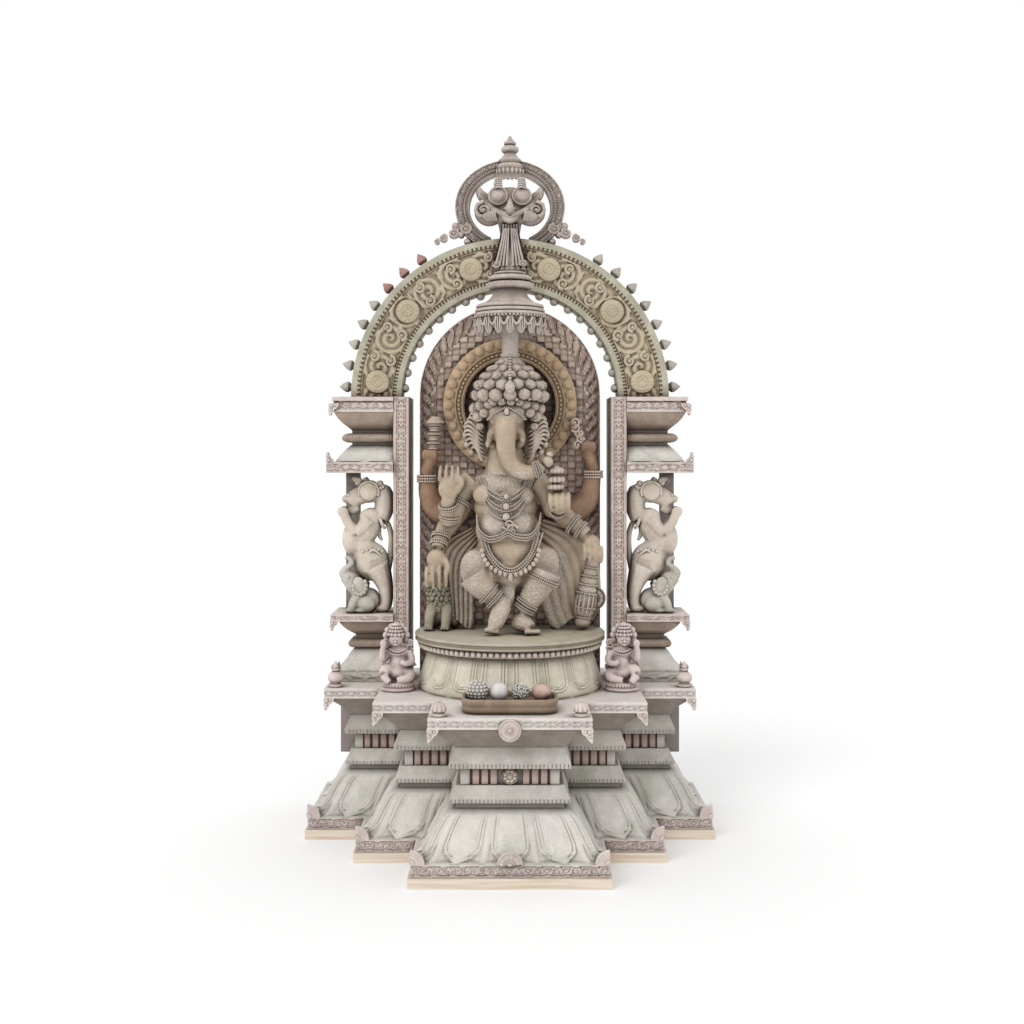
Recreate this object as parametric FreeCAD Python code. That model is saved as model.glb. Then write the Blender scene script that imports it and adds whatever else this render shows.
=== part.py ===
"""Carved stone shrine with an elephant-headed figure: planks, three stepped base tiers, two pillars
with rearing beasts, a round arch with its crest, a back plate, the figure and what stands before it.

Millimetres. +Z is up and -Y is the front. The origin is under the middle of the shrine, on the ground.
"""
import FreeCAD, Part
import math
import os

V = FreeCAD.Vector
UP = V(0, 0, 1)
BACKWARD = V(0, 1, 0)

# ---- base: three tiers, each standing further back and reaching further out ----
bay_half_width = 425.0          # from the centre line to a pillar's inner face
post_width = 67.0
pillar_width = 250.0            # pedestal and capital, outside the post
deck_margin = 22.0              # deck left free outside a pillar pedestal
tier_side_step = 231.0
tier_step = 300.0               # each tier's front behind the one before it
plank_thickness = 38.0
frieze_height = 48.0
lotus_height = 163.0
neck_height = 19.0
moulding_height = 63.0
niche_height = 64.0
top_moulding_height = 82.0
cornice_height = 81.0
deck_thickness = 42.0
frieze_recess = 8.0             # recesses are measured in from the plank's edge
lotus_recess = 150.0
neck_recess = 166.0
moulding_recess = 143.0
niche_recess = 158.0
cornice_foot_recess = 150.0
cornice_top_recess = 78.0
deck_recess = 66.0
ear_size = 34.0
ear_drop = 46.0
base_medallion_radius = 40.0
deck_medallion_radius = 39.0
medallion_thickness = 10.0      # of the one that hangs from the deck
bud_radius = 29.0               # small finials on the decks
bud_height = 62.0
kalasha_height = 108.0

# ---- pillars ----
pillar_setback = 149.0          # from the rear deck's front edge to the posts
pillar_depth = 248.0
back_margin = 117.0
pedestal_height = 255.0
slab_height = 30.0
beast_niche_height = 596.0
canopy_height = 45.0
capital_height = 211.0
abacus_height = 64.0
widest_overhang = 32.0          # how far the top slab's ears stand out from the pedestal's foot
pedestal_recesses = ((0.0, 32.0), (0.18, 32.0), (0.5, 90.0), (0.7, 90.0), (1.0, 28.0))
capital_recesses = ((0.0, 10.0), (0.33, 72.0), (0.55, 69.0), (0.7, 70.0), (1.0, 34.0))
slab_recess = 14.0
canopy_recess = 2.0
abacus_recess = 22.0
niche_post_inset = 164.0        # slim rear post, outside the main post
niche_post_width = 60.0
niche_post_depth = 50.0
backing_half_width = 745.0
backing_thickness = 120.0

# ---- arch and crest ----
arch_overlap = 31.0             # how far the arch's inner edge stands outside the bay
arch_width = 219.0
arch_depth = 110.0
arch_setback = 35.0             # arch face behind the posts' face
outer_bud_radius = 23.0
outer_bud_height = 58.0
outer_bud_first = 3.8           # degrees above the spring line
outer_bud_pitch = 7.64
outer_bud_count = 8
inner_bud_radius = 20.0
inner_bud_first = 5.0
inner_bud_pitch = 8.6
inner_bud_count = 9
medallion_radius = 53.0
medallion_depth = 24.0
medallion_angles = (6.5, 40.0, 73.0)
ring_radius = 234.0
ring_width = 62.0
ring_depth = 70.0
ring_rise = 102.0               # ring's centre above the arch's crown
scroll_radii = (31.0, 23.0)
mask_radius = 95.0
cheek_radius = 58.0
mask_eye_radius = 31.0
mask_neck_radius = 45.0
tongue_top_half = 36.0
tongue_foot_half = 76.0
tongue_drop = 138.0             # below the arch's crown
tongue_depth = 50.0
bell_radius = 74.0
bell_height = 100.0
finial_height = 72.0
seat_gap = 0.3                  # left between curved faces that meet

# ---- back plate, halo and umbrella ----
slot_width = 38.0               # open slot between a post and the back plate
plate_setback = 102.0           # back plate's face behind the posts' face
plate_thickness = 84.0
plate_centre_rise = 9.0         # round top's centre above the spring line
halo_radius = 285.0
halo_width = 89.0
halo_depth = 37.0
umbrella_radius = 148.0
umbrella_rim_height = 58.0
umbrella_fringe_height = 70.0
umbrella_wall = 14.0
umbrella_dome_height = 65.0
umbrella_neck_radius = 94.0
umbrella_neck_height = 74.0
umbrella_stem_radius = 36.0
umbrella_stem_height = 90.0

# ---- round pedestal and figure ----
pedestal_margin = 31.0          # round plate's edge inside the posts' inner faces
pedestal_centre_forward = 65.0  # round pedestal's centre in front of the posts' face
lotus_foot_radius = 385.0
lotus_top_radius = 335.0
lotus_ring_height = 165.0
bead_ring_height = 29.0
bead_ring_radius = 380.0
round_plate_thickness = 34.0
figure_forward = 115.0          # figure's axis in front of the posts' face
crown_base = 950.0              # heights above the round plate
crown_top = 1126.0
crown_radius = 168.0
vahana_height = 250.0

# ---- things that lift off ----
attendant_radius = 72.0
attendant_height = 283.0
attendant_angle = 13.6          # degrees in front of the round pedestal's side
attendant_gap = 3.0
tray_width = 360.0
tray_length = 200.0
tray_height = 55.0
tray_floor = 32.0
tray_wall = 14.0
tray_corner = 60.0
tray_gap = 42.0                 # between the round pedestal and the tray
offerings = (("custard_apple", -122.0, 41.0), ("coconut", -41.0, 37.5),
             ("flower_heap", 40.0, 36.0), ("pomegranate", 118.0, 37.0))
offering_flat = 4.0             # cut from under each offering, so that it sits

# ---- worked out from the sizes above ----
rear_half_width = bay_half_width + post_width + pillar_width + deck_margin + deck_recess
middle_half_width = rear_half_width - tier_side_step
front_half_width = middle_half_width - tier_side_step
rear_depth = deck_recess + pillar_setback + pillar_depth + back_margin
total_depth = 2 * tier_step + rear_depth
front_y = -total_depth / 2
back_y = total_depth / 2
lotus_base_z = plank_thickness + frieze_height
lotus_top_z = lotus_base_z + lotus_height
moulding_z = lotus_top_z + neck_height
niche_z = moulding_z + moulding_height
top_moulding_z = niche_z + niche_height
cornice_z = top_moulding_z + top_moulding_height
deck_z = cornice_z + cornice_height
deck_top = deck_z + deck_thickness
post_front = front_y + 2 * tier_step + deck_recess + pillar_setback
post_back = post_front + pillar_depth
post_outer = bay_half_width + post_width
pedestal_top = deck_top + pedestal_height
slab_top = pedestal_top + slab_height
canopy_z = slab_top + beast_niche_height
capital_z = canopy_z + canopy_height
abacus_z = capital_z + capital_height
spring_z = abacus_z + abacus_height
pillar_outer = post_outer + pillar_width + widest_overhang
arch_inner = bay_half_width + arch_overlap
arch_outer = arch_inner + arch_width
arch_front = post_front + arch_setback
arch_crown = spring_z + arch_outer
ring_z = arch_crown + ring_rise
ring_mid_y = arch_front + arch_depth / 2
plate_front = post_front + plate_setback
round_y = post_front - pedestal_centre_forward
tray_y = round_y - lotus_foot_radius - tray_gap - tray_length / 2
round_radius = bay_half_width - pedestal_margin
bead_ring_z = deck_top + lotus_ring_height
round_plate_z = bead_ring_z + bead_ring_height
floor_z = round_plate_z + round_plate_thickness
figure_y = post_front - figure_forward


def box(x0, x1, y0, y1, z0, z1):
    return Part.makeBox(x1 - x0, y1 - y0, z1 - z0, V(x0, y0, z0))


def prism(points, along):
    """Closed outline of straight sides, pushed along a vector."""
    wire = Part.makePolygon(points + [points[0]])
    return Part.Face(wire).extrude(along)


def turned(outline, x, y, z):
    """Outline of (radius, height) points, turned about an upright axis at x, y."""
    points = [V(radius, 0, height) for radius, height in outline]
    face = Part.Face(Part.makePolygon(points + [points[0]]))
    solid = face.revolve(V(0, 0, 0), UP, 360)
    return solid.translated(V(x, y, z))


def ball(centre, radius):
    return Part.makeSphere(radius, centre)


def fused(shapes):
    whole = shapes[0]
    for shape in shapes[1:]:
        whole = whole.fuse(shape)
    return whole


def limb(stations):
    """Round limb through (centre, radius) stations: a ball at each and a cone between them."""
    pieces = [ball(centre, radius) for centre, radius in stations]
    for (start, r0), (end, r1) in zip(stations, stations[1:]):
        run = end - start
        near = 0.93 * r0
        far = 0.93 * r1 + 0.01
        pieces.append(Part.makeCone(near, far, run.Length, start, run))
    return fused(pieces)


def mirrored(shape):
    return shape.mirror(V(0, 0, 0), V(1, 0, 0))


def pair(shape):
    """The shape and its mirror image on the other side of the shrine."""
    return Part.makeCompound([shape, mirrored(shape)])


def save(shape, node):
    if not shape.isValid() or not shape.Solids:
        raise ValueError(node + " is not a valid solid")
    shape.exportStep("parts/" + node + ".step")


def course(half_width, tier_front, next_front, stations, flat_back):
    """A block of masonry whose front and ends step in by (height, recess) stations.

    Its back follows the next tier's stepped front, or is flat on the last tier.
    """
    front = [V(-half_width, tier_front + recess, z) for z, recess in stations]
    back = [V(-half_width, next_front + (0 if flat_back else recess), z) for z, recess in stations]
    across = prism(front + back[::-1], V(2 * half_width, 0, 0))
    left = [V(recess - half_width, tier_front, z) for z, recess in stations]
    right = [V(half_width - recess, tier_front, z) for z, recess in stations]
    run = next_front - tier_front + max(recess for z, recess in stations)
    return across.common(prism(left + right[::-1], V(0, run, 0)))


def deck_ear(half_width, tier_front):
    """Leaf-shaped drop under a deck's corner, outside the cornice below it."""
    edge = half_width - deck_recess
    face = tier_front + deck_recess
    block = box(edge - ear_size, edge, face, face + ear_size, deck_z - ear_drop, deck_z)
    slope = (cornice_foot_recess - cornice_top_recess) / cornice_height
    foot = cornice_top_recess + slope * ear_drop
    inner = course(half_width, tier_front, tier_front + tier_step,
                   [(deck_z - ear_drop, foot), (deck_z, cornice_top_recess)], True)
    return block.cut(inner)


def make_tiers():
    tiers = (("front", front_half_width, 0), ("middle", middle_half_width, 1), ("rear", rear_half_width, 2))
    for name, half, order in tiers:
        near = front_y + order * tier_step
        last = order == len(tiers) - 1
        far = back_y if last else near + tier_step
        save(box(-half, half, near, far, 0, plank_thickness), name + "_plank")
        lotus = [(plank_thickness, frieze_recess), (lotus_base_z, frieze_recess),
                 (lotus_top_z, lotus_recess)]
        save(course(half, near, far, lotus, last), name + "_lotus_course")
        wall_far = back_y - backing_thickness if last else far
        dado = [(lotus_top_z, neck_recess), (moulding_z, neck_recess), (moulding_z, moulding_recess),
                (niche_z, moulding_recess), (niche_z, niche_recess), (top_moulding_z, niche_recess),
                (top_moulding_z, moulding_recess), (cornice_z, moulding_recess)]
        save(course(half, near, wall_far, dado, last), name + "_dado")
        cornice = [(cornice_z, cornice_foot_recess), (deck_z, cornice_top_recess)]
        save(course(half, near, wall_far, cornice, last), name + "_cornice")
        deck = course(half, near, far, [(deck_z, deck_recess), (deck_top, deck_recess)], last)
        ear = deck_ear(half, near)
        save(deck.fuse(ear).fuse(mirrored(ear)), name + "_deck_slab")
    backing = box(-backing_half_width, backing_half_width, back_y - backing_thickness, back_y,
                  lotus_top_z, deck_z)
    save(backing, "rear_backing_slab")


def make_front_medallions():
    """Half disc on the base frieze and a half disc hanging from the front deck."""
    upright = Part.makeCylinder(base_medallion_radius, frieze_recess,
                                V(0, front_y, lotus_base_z - 15), BACKWARD)
    reach = base_medallion_radius + 1
    base = upright.common(box(-reach, reach, front_y - reach, front_y + reach,
                              lotus_base_z - 15, lotus_base_z + reach))
    hanging_y = front_y + deck_recess
    disc = Part.makeCylinder(deck_medallion_radius, medallion_thickness,
                             V(0, hanging_y - medallion_thickness, deck_z + 12), BACKWARD)
    save(Part.makeCompound([base, disc]), "front_medallions")


def make_deck_finials():
    bud = [(0, 0), (bud_radius, 0), (bud_radius, 16), (bud_radius - 8, 20), (bud_radius - 2, 36),
           (9, 54), (0, bud_height)]
    x = front_half_width - deck_recess - bud_radius - 12
    save(pair(turned(bud, x, front_y + deck_recess + bud_radius + 12, deck_top)), "lotus_bud_finials")
    vase = [(0, 0), (27, 0), (27, 14), (22, 18), (33, 40), (22, 60), (14, 64), (0, kalasha_height)]
    x = rear_half_width - deck_recess - 44
    y = front_y + 2 * tier_step + deck_recess + 44
    save(pair(turned(vase, x, y, deck_top)), "kalasha_finials")


def pillar_block(z, height, stations):
    """Moulded block outside a post: recesses are measured in from the widest slab's edge."""
    points = [(z + share * height, recess) for share, recess in stations]
    front_edge = post_front - widest_overhang
    back_edge = post_back + widest_overhang
    side = [V(post_outer, front_edge + recess, at) for at, recess in points]
    side += [V(post_outer, back_edge - recess, at) for at, recess in points][::-1]
    across = prism(side, V(pillar_width + widest_overhang, 0, 0))
    end = [V(pillar_outer - recess, front_edge, at) for at, recess in points]
    end += [V(post_outer, front_edge, z + height), V(post_outer, front_edge, z)]
    return across.common(prism(end, V(0, back_edge - front_edge, 0)))


def slab_block(z, height, recess):
    return pillar_block(z, height, ((0.0, recess), (1.0, recess)))


def make_yali():
    """Rearing horned beast, head turned outward, standing on its hind leg."""
    y = post_front + 95
    foot = slab_top
    mid = post_outer + 120
    body = limb([(V(mid - 60, y, foot + 250), 62), (V(mid - 14, y, foot + 330), 52),
                 (V(mid + 8, y, foot + 415), 52)])
    neck = limb([(V(mid + 8, y, foot + 415), 48), (V(mid - 34, y, foot + 500), 44)])
    head = limb([(V(mid - 20, y, foot + 530), 48), (V(mid + 62, y, foot + 505), 30)])
    leg = limb([(V(mid - 70, y, foot + 235), 50), (V(mid - 50, y, foot + 140), 32),
                (V(mid - 66, y, foot + 60), 24), (V(mid - 60, y, foot + 26), 25)])
    arm = limb([(V(mid, y - 30, foot + 400), 32), (V(mid + 66, y - 34, foot + 370), 24),
                (V(mid + 100, y - 34, foot + 430), 20)])
    base = box(mid - 95, mid - 20, y - 34, y + 34, foot, foot + 20)
    niche = box(post_outer, pillar_outer, post_front - widest_overhang, post_back - niche_post_depth,
                slab_top, canopy_z)
    return fused([body, neck, head, leg, arm, base]).common(niche)


def make_elephant():
    """Small seated elephant under the beast, trunk raised."""
    y = post_front + 70
    foot = slab_top
    x = post_outer + 150
    body = ball(V(x, y, foot + 62), 56)
    head = ball(V(x + 18, y - 8, foot + 142), 38)
    trunk = limb([(V(x + 40, y - 12, foot + 150), 20), (V(x + 66, y - 12, foot + 180), 15),
                  (V(x + 62, y - 12, foot + 228), 12)])
    base = box(x - 45, x + 70, y - 45, y + 45, foot, foot + 22)
    return fused([body, head, trunk, base])


def make_pillars():
    post = box(bay_half_width, post_outer, post_front, post_back, deck_top, spring_z)
    slim = box(post_outer + niche_post_inset, post_outer + niche_post_inset + niche_post_width,
               post_back - niche_post_depth, post_back, slab_top, canopy_z)
    pedestal = pillar_block(deck_top, pedestal_height, pedestal_recesses)
    capital = pillar_block(capital_z, capital_height, capital_recesses)
    for side, turn in (("right", lambda shape: shape), ("left", mirrored)):
        save(turn(post), side + "_pillar_post")
        save(turn(pedestal), side + "_pillar_pedestal")
        save(turn(capital), side + "_capital")
        save(turn(make_yali()), side + "_yali")
    save(pair(make_elephant()), "elephants")
    save(pair(slim), "niche_posts")
    save(pair(slab_block(pedestal_top, slab_height, slab_recess)), "yali_slabs")
    save(pair(slab_block(canopy_z, canopy_height, canopy_recess)), "canopy_slabs")
    save(pair(slab_block(abacus_z, abacus_height, abacus_recess)), "abacus_slabs")


def arch_disc(radius, near, depth):
    return Part.makeCylinder(radius, depth, V(0, near, spring_z), BACKWARD)


def on_arch(radius, degrees, y):
    angle = math.radians(degrees)
    return V(radius * math.cos(angle), y, spring_z + radius * math.sin(angle))


def make_arch():
    whole = arch_disc(arch_outer, arch_front, arch_depth).cut(arch_disc(arch_inner, arch_front, arch_depth))
    half = whole.common(box(0, arch_outer + 1, arch_front, arch_front + arch_depth,
                            spring_z, arch_crown + 1))
    save(half, "right_arch_half")
    save(mirrored(half), "left_arch_half")
    middle = arch_front + arch_depth / 2
    bud = [(0, 0), (9, 0), (10, 10), (outer_bud_radius, 26), (outer_bud_radius - 7, 42),
           (0, outer_bud_height)]
    buds = []
    for order in range(outer_bud_count):
        degrees = outer_bud_first + order * outer_bud_pitch
        upright = turned(bud, 0, 0, 0)
        upright.rotate(V(0, 0, 0), BACKWARD, 90 - degrees)
        buds.append(upright.translated(on_arch(arch_outer + seat_gap, degrees, middle)))
    buds += [mirrored(each) for each in buds]
    save(Part.makeCompound(buds), "arch_outer_buds")
    inner = []
    for order in range(inner_bud_count):
        degrees = inner_bud_first + order * inner_bud_pitch
        centre = on_arch(arch_inner - inner_bud_radius - seat_gap, degrees, middle)
        inner.append(ball(centre, inner_bud_radius))
    inner += [mirrored(each) for each in inner]
    save(Part.makeCompound(inner), "arch_inner_buds")
    discs = []
    for degrees in medallion_angles:
        centre = on_arch(arch_inner + arch_width / 2, degrees, arch_front)
        discs.append(Part.makeCone(medallion_radius, medallion_radius - 14, medallion_depth,
                                   centre, V(0, -1, 0)))
    discs += [mirrored(each) for each in discs]
    save(Part.makeCompound(discs), "arch_medallions")


def make_crest():
    ring_front = ring_mid_y - ring_depth / 2
    hole_radius = ring_radius - ring_width
    outer = Part.makeCylinder(ring_radius, ring_depth, V(0, ring_front, ring_z), BACKWARD)
    hole = Part.makeCylinder(hole_radius, ring_depth, V(0, ring_front, ring_z), BACKWARD)
    arch = arch_disc(arch_outer + seat_gap, ring_front - 100, ring_depth + 200)
    scrolls = []
    degrees = 90.0 - math.degrees(math.asin(ring_radius / arch_outer))
    for radius in scroll_radii:
        centre = on_arch(arch_outer + seat_gap + radius, degrees, ring_front)
        scrolls.append(Part.makeCylinder(radius, ring_depth - 20, centre, BACKWARD))
        degrees -= math.degrees(2.25 * radius / arch_outer)
    scrolls += [mirrored(each) for each in scrolls]
    save(Part.makeCompound([outer.cut(hole).cut(arch)] + scrolls), "crest_ring")

    face_z = ring_z + 52
    middle = ring_mid_y
    pieces = [ball(V(0, middle, face_z), mask_radius)]
    pieces.append(Part.makeCylinder(mask_neck_radius, face_z - arch_crown + 20,
                                    V(0, middle, arch_crown - 20)))
    for side in (-1, 1):
        pieces.append(ball(V(side * 92, middle, face_z - 40), cheek_radius))
        pieces.append(ball(V(side * 52, middle - 74, face_z + 32), mask_eye_radius))
    save(fused(pieces).cut(arch), "lion_mask")

    top = arch_crown + 52
    tongue = [V(-tongue_top_half, arch_front, top), V(tongue_top_half, arch_front, top),
              V(tongue_foot_half, arch_front, arch_crown - tongue_drop),
              V(-tongue_foot_half, arch_front, arch_crown - tongue_drop)]
    save(prism(tongue, V(0, -tongue_depth, 0)), "flame_tongue")

    bell_z = ring_z + hole_radius + 1
    bell = [(0, 0), (bell_radius - 8, 0), (bell_radius, 18), (bell_radius, 40), (bell_radius - 18, 60),
            (32, bell_height - 14), (26, bell_height), (34, bell_height + 24), (26, bell_height + 50),
            (0, bell_height + finial_height)]
    saddle = Part.makeCylinder(ring_radius + seat_gap, ring_depth + 2 * seat_gap,
                               V(0, ring_front - seat_gap, ring_z), BACKWARD)
    save(turned(bell, 0, middle, bell_z).cut(saddle.cut(hole)), "crest_finial")


def make_back():
    half = bay_half_width - slot_width
    centre_z = spring_z + plate_centre_rise
    slab = box(-half, half, plate_front, plate_front + plate_thickness, deck_top, centre_z)
    top = Part.makeCylinder(half, plate_thickness, V(0, plate_front, centre_z), BACKWARD)
    upper = top.common(box(-half - 1, half + 1, plate_front, plate_front + plate_thickness,
                           centre_z, centre_z + half + 1))
    save(slab.fuse(upper).removeSplitter(), "back_plate")
    head_z = floor_z + crown_base - 9
    start = V(0, plate_front - halo_depth, head_z)
    ring = Part.makeCylinder(halo_radius, halo_depth, start, BACKWARD)
    save(ring.cut(Part.makeCylinder(halo_radius - halo_width, halo_depth, start, BACKWARD)), "halo_ring")


def make_umbrella():
    """Stone parasol, hollow underneath, on a stem that stands on the crown."""
    fringe_z = umbrella_stem_height
    rim_z = fringe_z + umbrella_fringe_height
    dome_z = rim_z + umbrella_rim_height
    neck_z = dome_z + umbrella_dome_height
    top_z = neck_z + umbrella_neck_height
    inside = umbrella_radius - umbrella_wall
    outline = [(0, 0), (umbrella_stem_radius, 0), (umbrella_stem_radius, rim_z - 4),
               (inside, rim_z - 4), (inside, fringe_z), (umbrella_radius - 4, fringe_z),
               (umbrella_radius, rim_z), (umbrella_radius, dome_z), (umbrella_neck_radius, neck_z),
               (umbrella_neck_radius, top_z - 18), (umbrella_neck_radius - 26, top_z), (0, top_z)]
    save(turned(outline, 0, figure_y, floor_z + crown_top), "umbrella")


def make_round_pedestal():
    def flat_backed(outline, z):
        whole = turned(outline, 0, round_y, z)
        height = outline[-1][1]
        reach = round_radius + 1
        return whole.common(box(-reach, reach, round_y - reach, plate_front, z, z + height))

    lotus = [(0, 0), (lotus_foot_radius, 0), (lotus_foot_radius, 26), (lotus_top_radius + 30, 110),
             (lotus_top_radius, lotus_ring_height), (0, lotus_ring_height)]
    save(flat_backed(lotus, deck_top), "lotus_pedestal")
    ring = [(0, 0), (bead_ring_radius, 0), (bead_ring_radius, bead_ring_height), (0, bead_ring_height)]
    save(flat_backed(ring, bead_ring_z), "bead_ring")
    plate = [(0, 0), (round_radius, 0), (round_radius, round_plate_thickness), (0, round_plate_thickness)]
    save(flat_backed(plate, round_plate_z), "figure_plate")


def at(x, back, up):
    """A point of the figure: across, behind its axis, and above the round plate."""
    return V(x, figure_y + back, floor_z + up)


def make_figure():
    head = limb([(at(-8, 0, 848), 112), (at(-10, -50, 850), 62)])
    torso = limb([(at(-4, 10, 240), 130), (at(-4, -6, 390), 146), (at(-6, 20, 560), 112),
                  (at(-6, 20, 640), 80), (at(-8, 0, 740), 66)])
    shoulders = limb([(at(-142, 20, 628), 62), (at(130, 20, 628), 62)])
    trunk = limb([(at(-10, -70, 850), 52), (at(-14, -88, 768), 44), (at(2, -98, 700), 38),
                  (at(48, -104, 662), 32), (at(109, -105, 676), 27), (at(148, -110, 694), 24)])
    ears = [Part.makeCylinder(72, 26, at(side * 118 - 16, 14, 800), BACKWARD) for side in (-1, 1)]
    raised_arm = limb([(at(-146, 16, 624), 42), (at(-236, -6, 470), 44), (at(-247, -66, 560), 34),
                       (at(-248, -70, 610), 36)])
    lower_arm = limb([(at(-140, 28, 622), 40), (at(-262, 34, 430), 44), (at(-291, -20, 350), 31),
                      (at(-302, -44, 276), 32), (at(-298, -48, 214), 20)])
    fist_arm = limb([(at(134, 16, 622), 42), (at(196, 0, 520), 46), (at(206, -78, 548), 44)])
    mace_arm = limb([(at(128, 28, 620), 40), (at(250, 34, 492), 44), (at(318, 4, 400), 32),
                     (at(338, -6, 362), 30)])
    right_leg = limb([(at(-70, 20, 270), 104), (at(-156, -80, 262), 70), (at(-76, -52, 134), 40),
                      (at(-74, -58, 44), 34), (at(-90, -104, 26), 25)])
    left_leg = limb([(at(76, 20, 280), 104), (at(152, -66, 270), 70), (at(74, -40, 120), 42),
                     (at(66, -50, 44), 36), (at(72, -98, 26), 25)])
    drape = box(-170, 190, figure_y + 60, plate_front, floor_z, floor_z + 330)
    pieces = [torso, shoulders, head, trunk] + ears
    pieces += [raised_arm, lower_arm, fist_arm, mace_arm, right_leg, left_leg, drape]
    above = box(-600, 600, figure_y - 400, plate_front, floor_z, floor_z + crown_base)
    save(fused(pieces).common(above), "figure")

    crown_height = crown_top - crown_base
    crown = [(0, 0), (crown_radius - 24, 0), (crown_radius, 36), (crown_radius - 22, 84),
             (crown_radius - 70, 130), (umbrella_stem_radius + 6, 152),
             (umbrella_stem_radius + 2, crown_height), (0, crown_height)]
    save(turned(crown, 0, figure_y, floor_z + crown_base), "crown")

    rear_arm_back = plate_front - figure_y - 44
    rear_arms = []
    for side in (-1, 1):
        rear_arms.append(limb([(at(side * 336, rear_arm_back, 470), 50), (at(side * 352, rear_arm_back, 600), 36),
                               (at(side * 330, rear_arm_back, 720), 26),
                               (at(side * 312, rear_arm_back, 860), 22)]))
    front_of_plate = box(-600, 600, figure_y, plate_front, floor_z, floor_z + 1000)
    rear_arms = [each.common(front_of_plate) for each in rear_arms]
    save(Part.makeCompound(rear_arms), "rear_arms")


def make_mace():
    shaft = [(0, 0), (30, 0), (34, 16), (24, 34), (36, 60), (44, 120), (36, 180), (24, 210), (22, 300),
             (0, 300)]
    standing = turned(shaft, 298, figure_y + 62, floor_z)
    disc = Part.makeCylinder(52, 20, at(350, 70, 131), BACKWARD)
    save(standing.fuse(disc), "mace")


def make_vahana():
    """Crouching mount animal beside the figure's right foot."""
    body = limb([(at(-300, 92, 90), 70), (at(-318, 74, 150), 50), (at(-318, 62, 206), 38)])
    tail = limb([(at(-286, 88, 80), 36), (at(-232, 40, 50), 26)])
    foot = box(-352, -262, figure_y + 10, figure_y + 130, floor_z, floor_z + 40)
    above = box(-600, 600, figure_y - 400, plate_front, floor_z, floor_z + vahana_height)
    save(fused([body, tail, foot]).common(above), "vahana")


def make_attendants():
    angle = math.radians(attendant_angle)
    reach = round_radius + attendant_gap + attendant_radius
    x = reach * math.cos(angle)
    y = round_y - reach * math.sin(angle)
    foot = [(0, 0), (attendant_radius, 0), (attendant_radius - 4, 20), (attendant_radius - 14, 44),
            (0, 44)]
    base = turned(foot, x, y, deck_top)
    body = limb([(V(x, y, deck_top + 84), 48), (V(x, y, deck_top + 150), 34)])
    head = ball(V(x, y, deck_top + 196), 34)
    cap = Part.makeCone(30, 6, attendant_height - 210, V(x, y, deck_top + 210))
    right = fused([base, body, head, cap])
    save(right, "right_attendant")
    save(mirrored(right), "left_attendant")


def rounded_block(half_x, half_y, corner, z, height):
    """Upright block about the tray's middle, with round corners."""
    long_way = box(-half_x, half_x, tray_y - half_y + corner, tray_y + half_y - corner, z, z + height)
    short_way = box(-half_x + corner, half_x - corner, tray_y - half_y, tray_y + half_y, z, z + height)
    posts = []
    for sx in (-1, 1):
        for sy in (-1, 1):
            centre = V(sx * (half_x - corner), tray_y + sy * (half_y - corner), z)
            posts.append(Part.makeCylinder(corner, height, centre))
    return fused([long_way, short_way] + posts).removeSplitter()


def make_tray():
    outer = rounded_block(tray_width / 2, tray_length / 2, tray_corner, deck_top, tray_height)
    inner = rounded_block(tray_width / 2 - tray_wall, tray_length / 2 - tray_wall,
                          tray_corner - tray_wall, deck_top + tray_floor, tray_height)
    save(outer.cut(inner), "offering_tray")
    for name, x, radius in offerings:
        seat = deck_top + tray_floor
        centre = V(x, tray_y, seat + radius - offering_flat)
        reach = radius + 1
        keep = box(x - reach, x + reach, tray_y - reach, tray_y + reach, seat, seat + 2 * reach)
        save(ball(centre, radius).common(keep), name)


os.makedirs("parts", exist_ok=True)
make_tiers()
make_front_medallions()
make_deck_finials()
make_pillars()
make_arch()
make_crest()
make_back()
make_umbrella()
make_round_pedestal()
make_figure()
make_mace()
make_vahana()
make_attendants()
make_tray()
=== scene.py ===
import math
import random

import bmesh
import bpy
import numpy as np
from mathutils import Matrix, Vector


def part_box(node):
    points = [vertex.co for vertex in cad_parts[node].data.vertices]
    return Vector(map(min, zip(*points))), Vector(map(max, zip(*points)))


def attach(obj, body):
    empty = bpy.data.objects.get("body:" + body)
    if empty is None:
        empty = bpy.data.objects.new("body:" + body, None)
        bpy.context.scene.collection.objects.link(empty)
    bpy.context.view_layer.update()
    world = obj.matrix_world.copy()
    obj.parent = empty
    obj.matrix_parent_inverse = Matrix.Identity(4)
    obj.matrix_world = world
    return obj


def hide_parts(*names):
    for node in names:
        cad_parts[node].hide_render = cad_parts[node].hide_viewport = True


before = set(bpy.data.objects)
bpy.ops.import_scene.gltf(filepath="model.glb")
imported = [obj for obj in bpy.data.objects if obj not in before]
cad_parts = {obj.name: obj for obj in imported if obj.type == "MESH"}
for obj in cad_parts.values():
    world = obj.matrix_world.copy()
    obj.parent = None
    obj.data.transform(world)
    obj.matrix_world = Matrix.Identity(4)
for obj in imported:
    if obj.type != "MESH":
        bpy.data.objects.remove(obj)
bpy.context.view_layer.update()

bl_info = {
    "name": "Stone shrine",
    "version": (1, 0, 0),
    "blender": (4, 5, 0),
    "location": "View3D > Sidebar > Shrine",
    "description": "Carved stone shrine with an elephant-headed figure",
    "category": "Add Mesh",
}

MM = 0.001
TIERS = ("front", "middle", "rear")
SIDES = (("left", -1), ("right", 1))
CREVICE = 0.045  # metres over which painted shade darkens a hollow


def tint(red, green, blue):
    """A colour in linear light from screen values of 0 to 255."""
    return tuple(((level / 255 + 0.055) / 1.055) ** 2.4 for level in (red, green, blue))


# ---------------------------------------------------------------- finishes

def add_node(tree, kind, **values):
    """A shader node with its sockets, or else its settings, set from the keywords."""
    made = tree.nodes.new(kind)
    for key, value in values.items():
        if key in made.inputs:
            made.inputs[key].default_value = value
        else:
            setattr(made, key, value)
    return made


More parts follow.
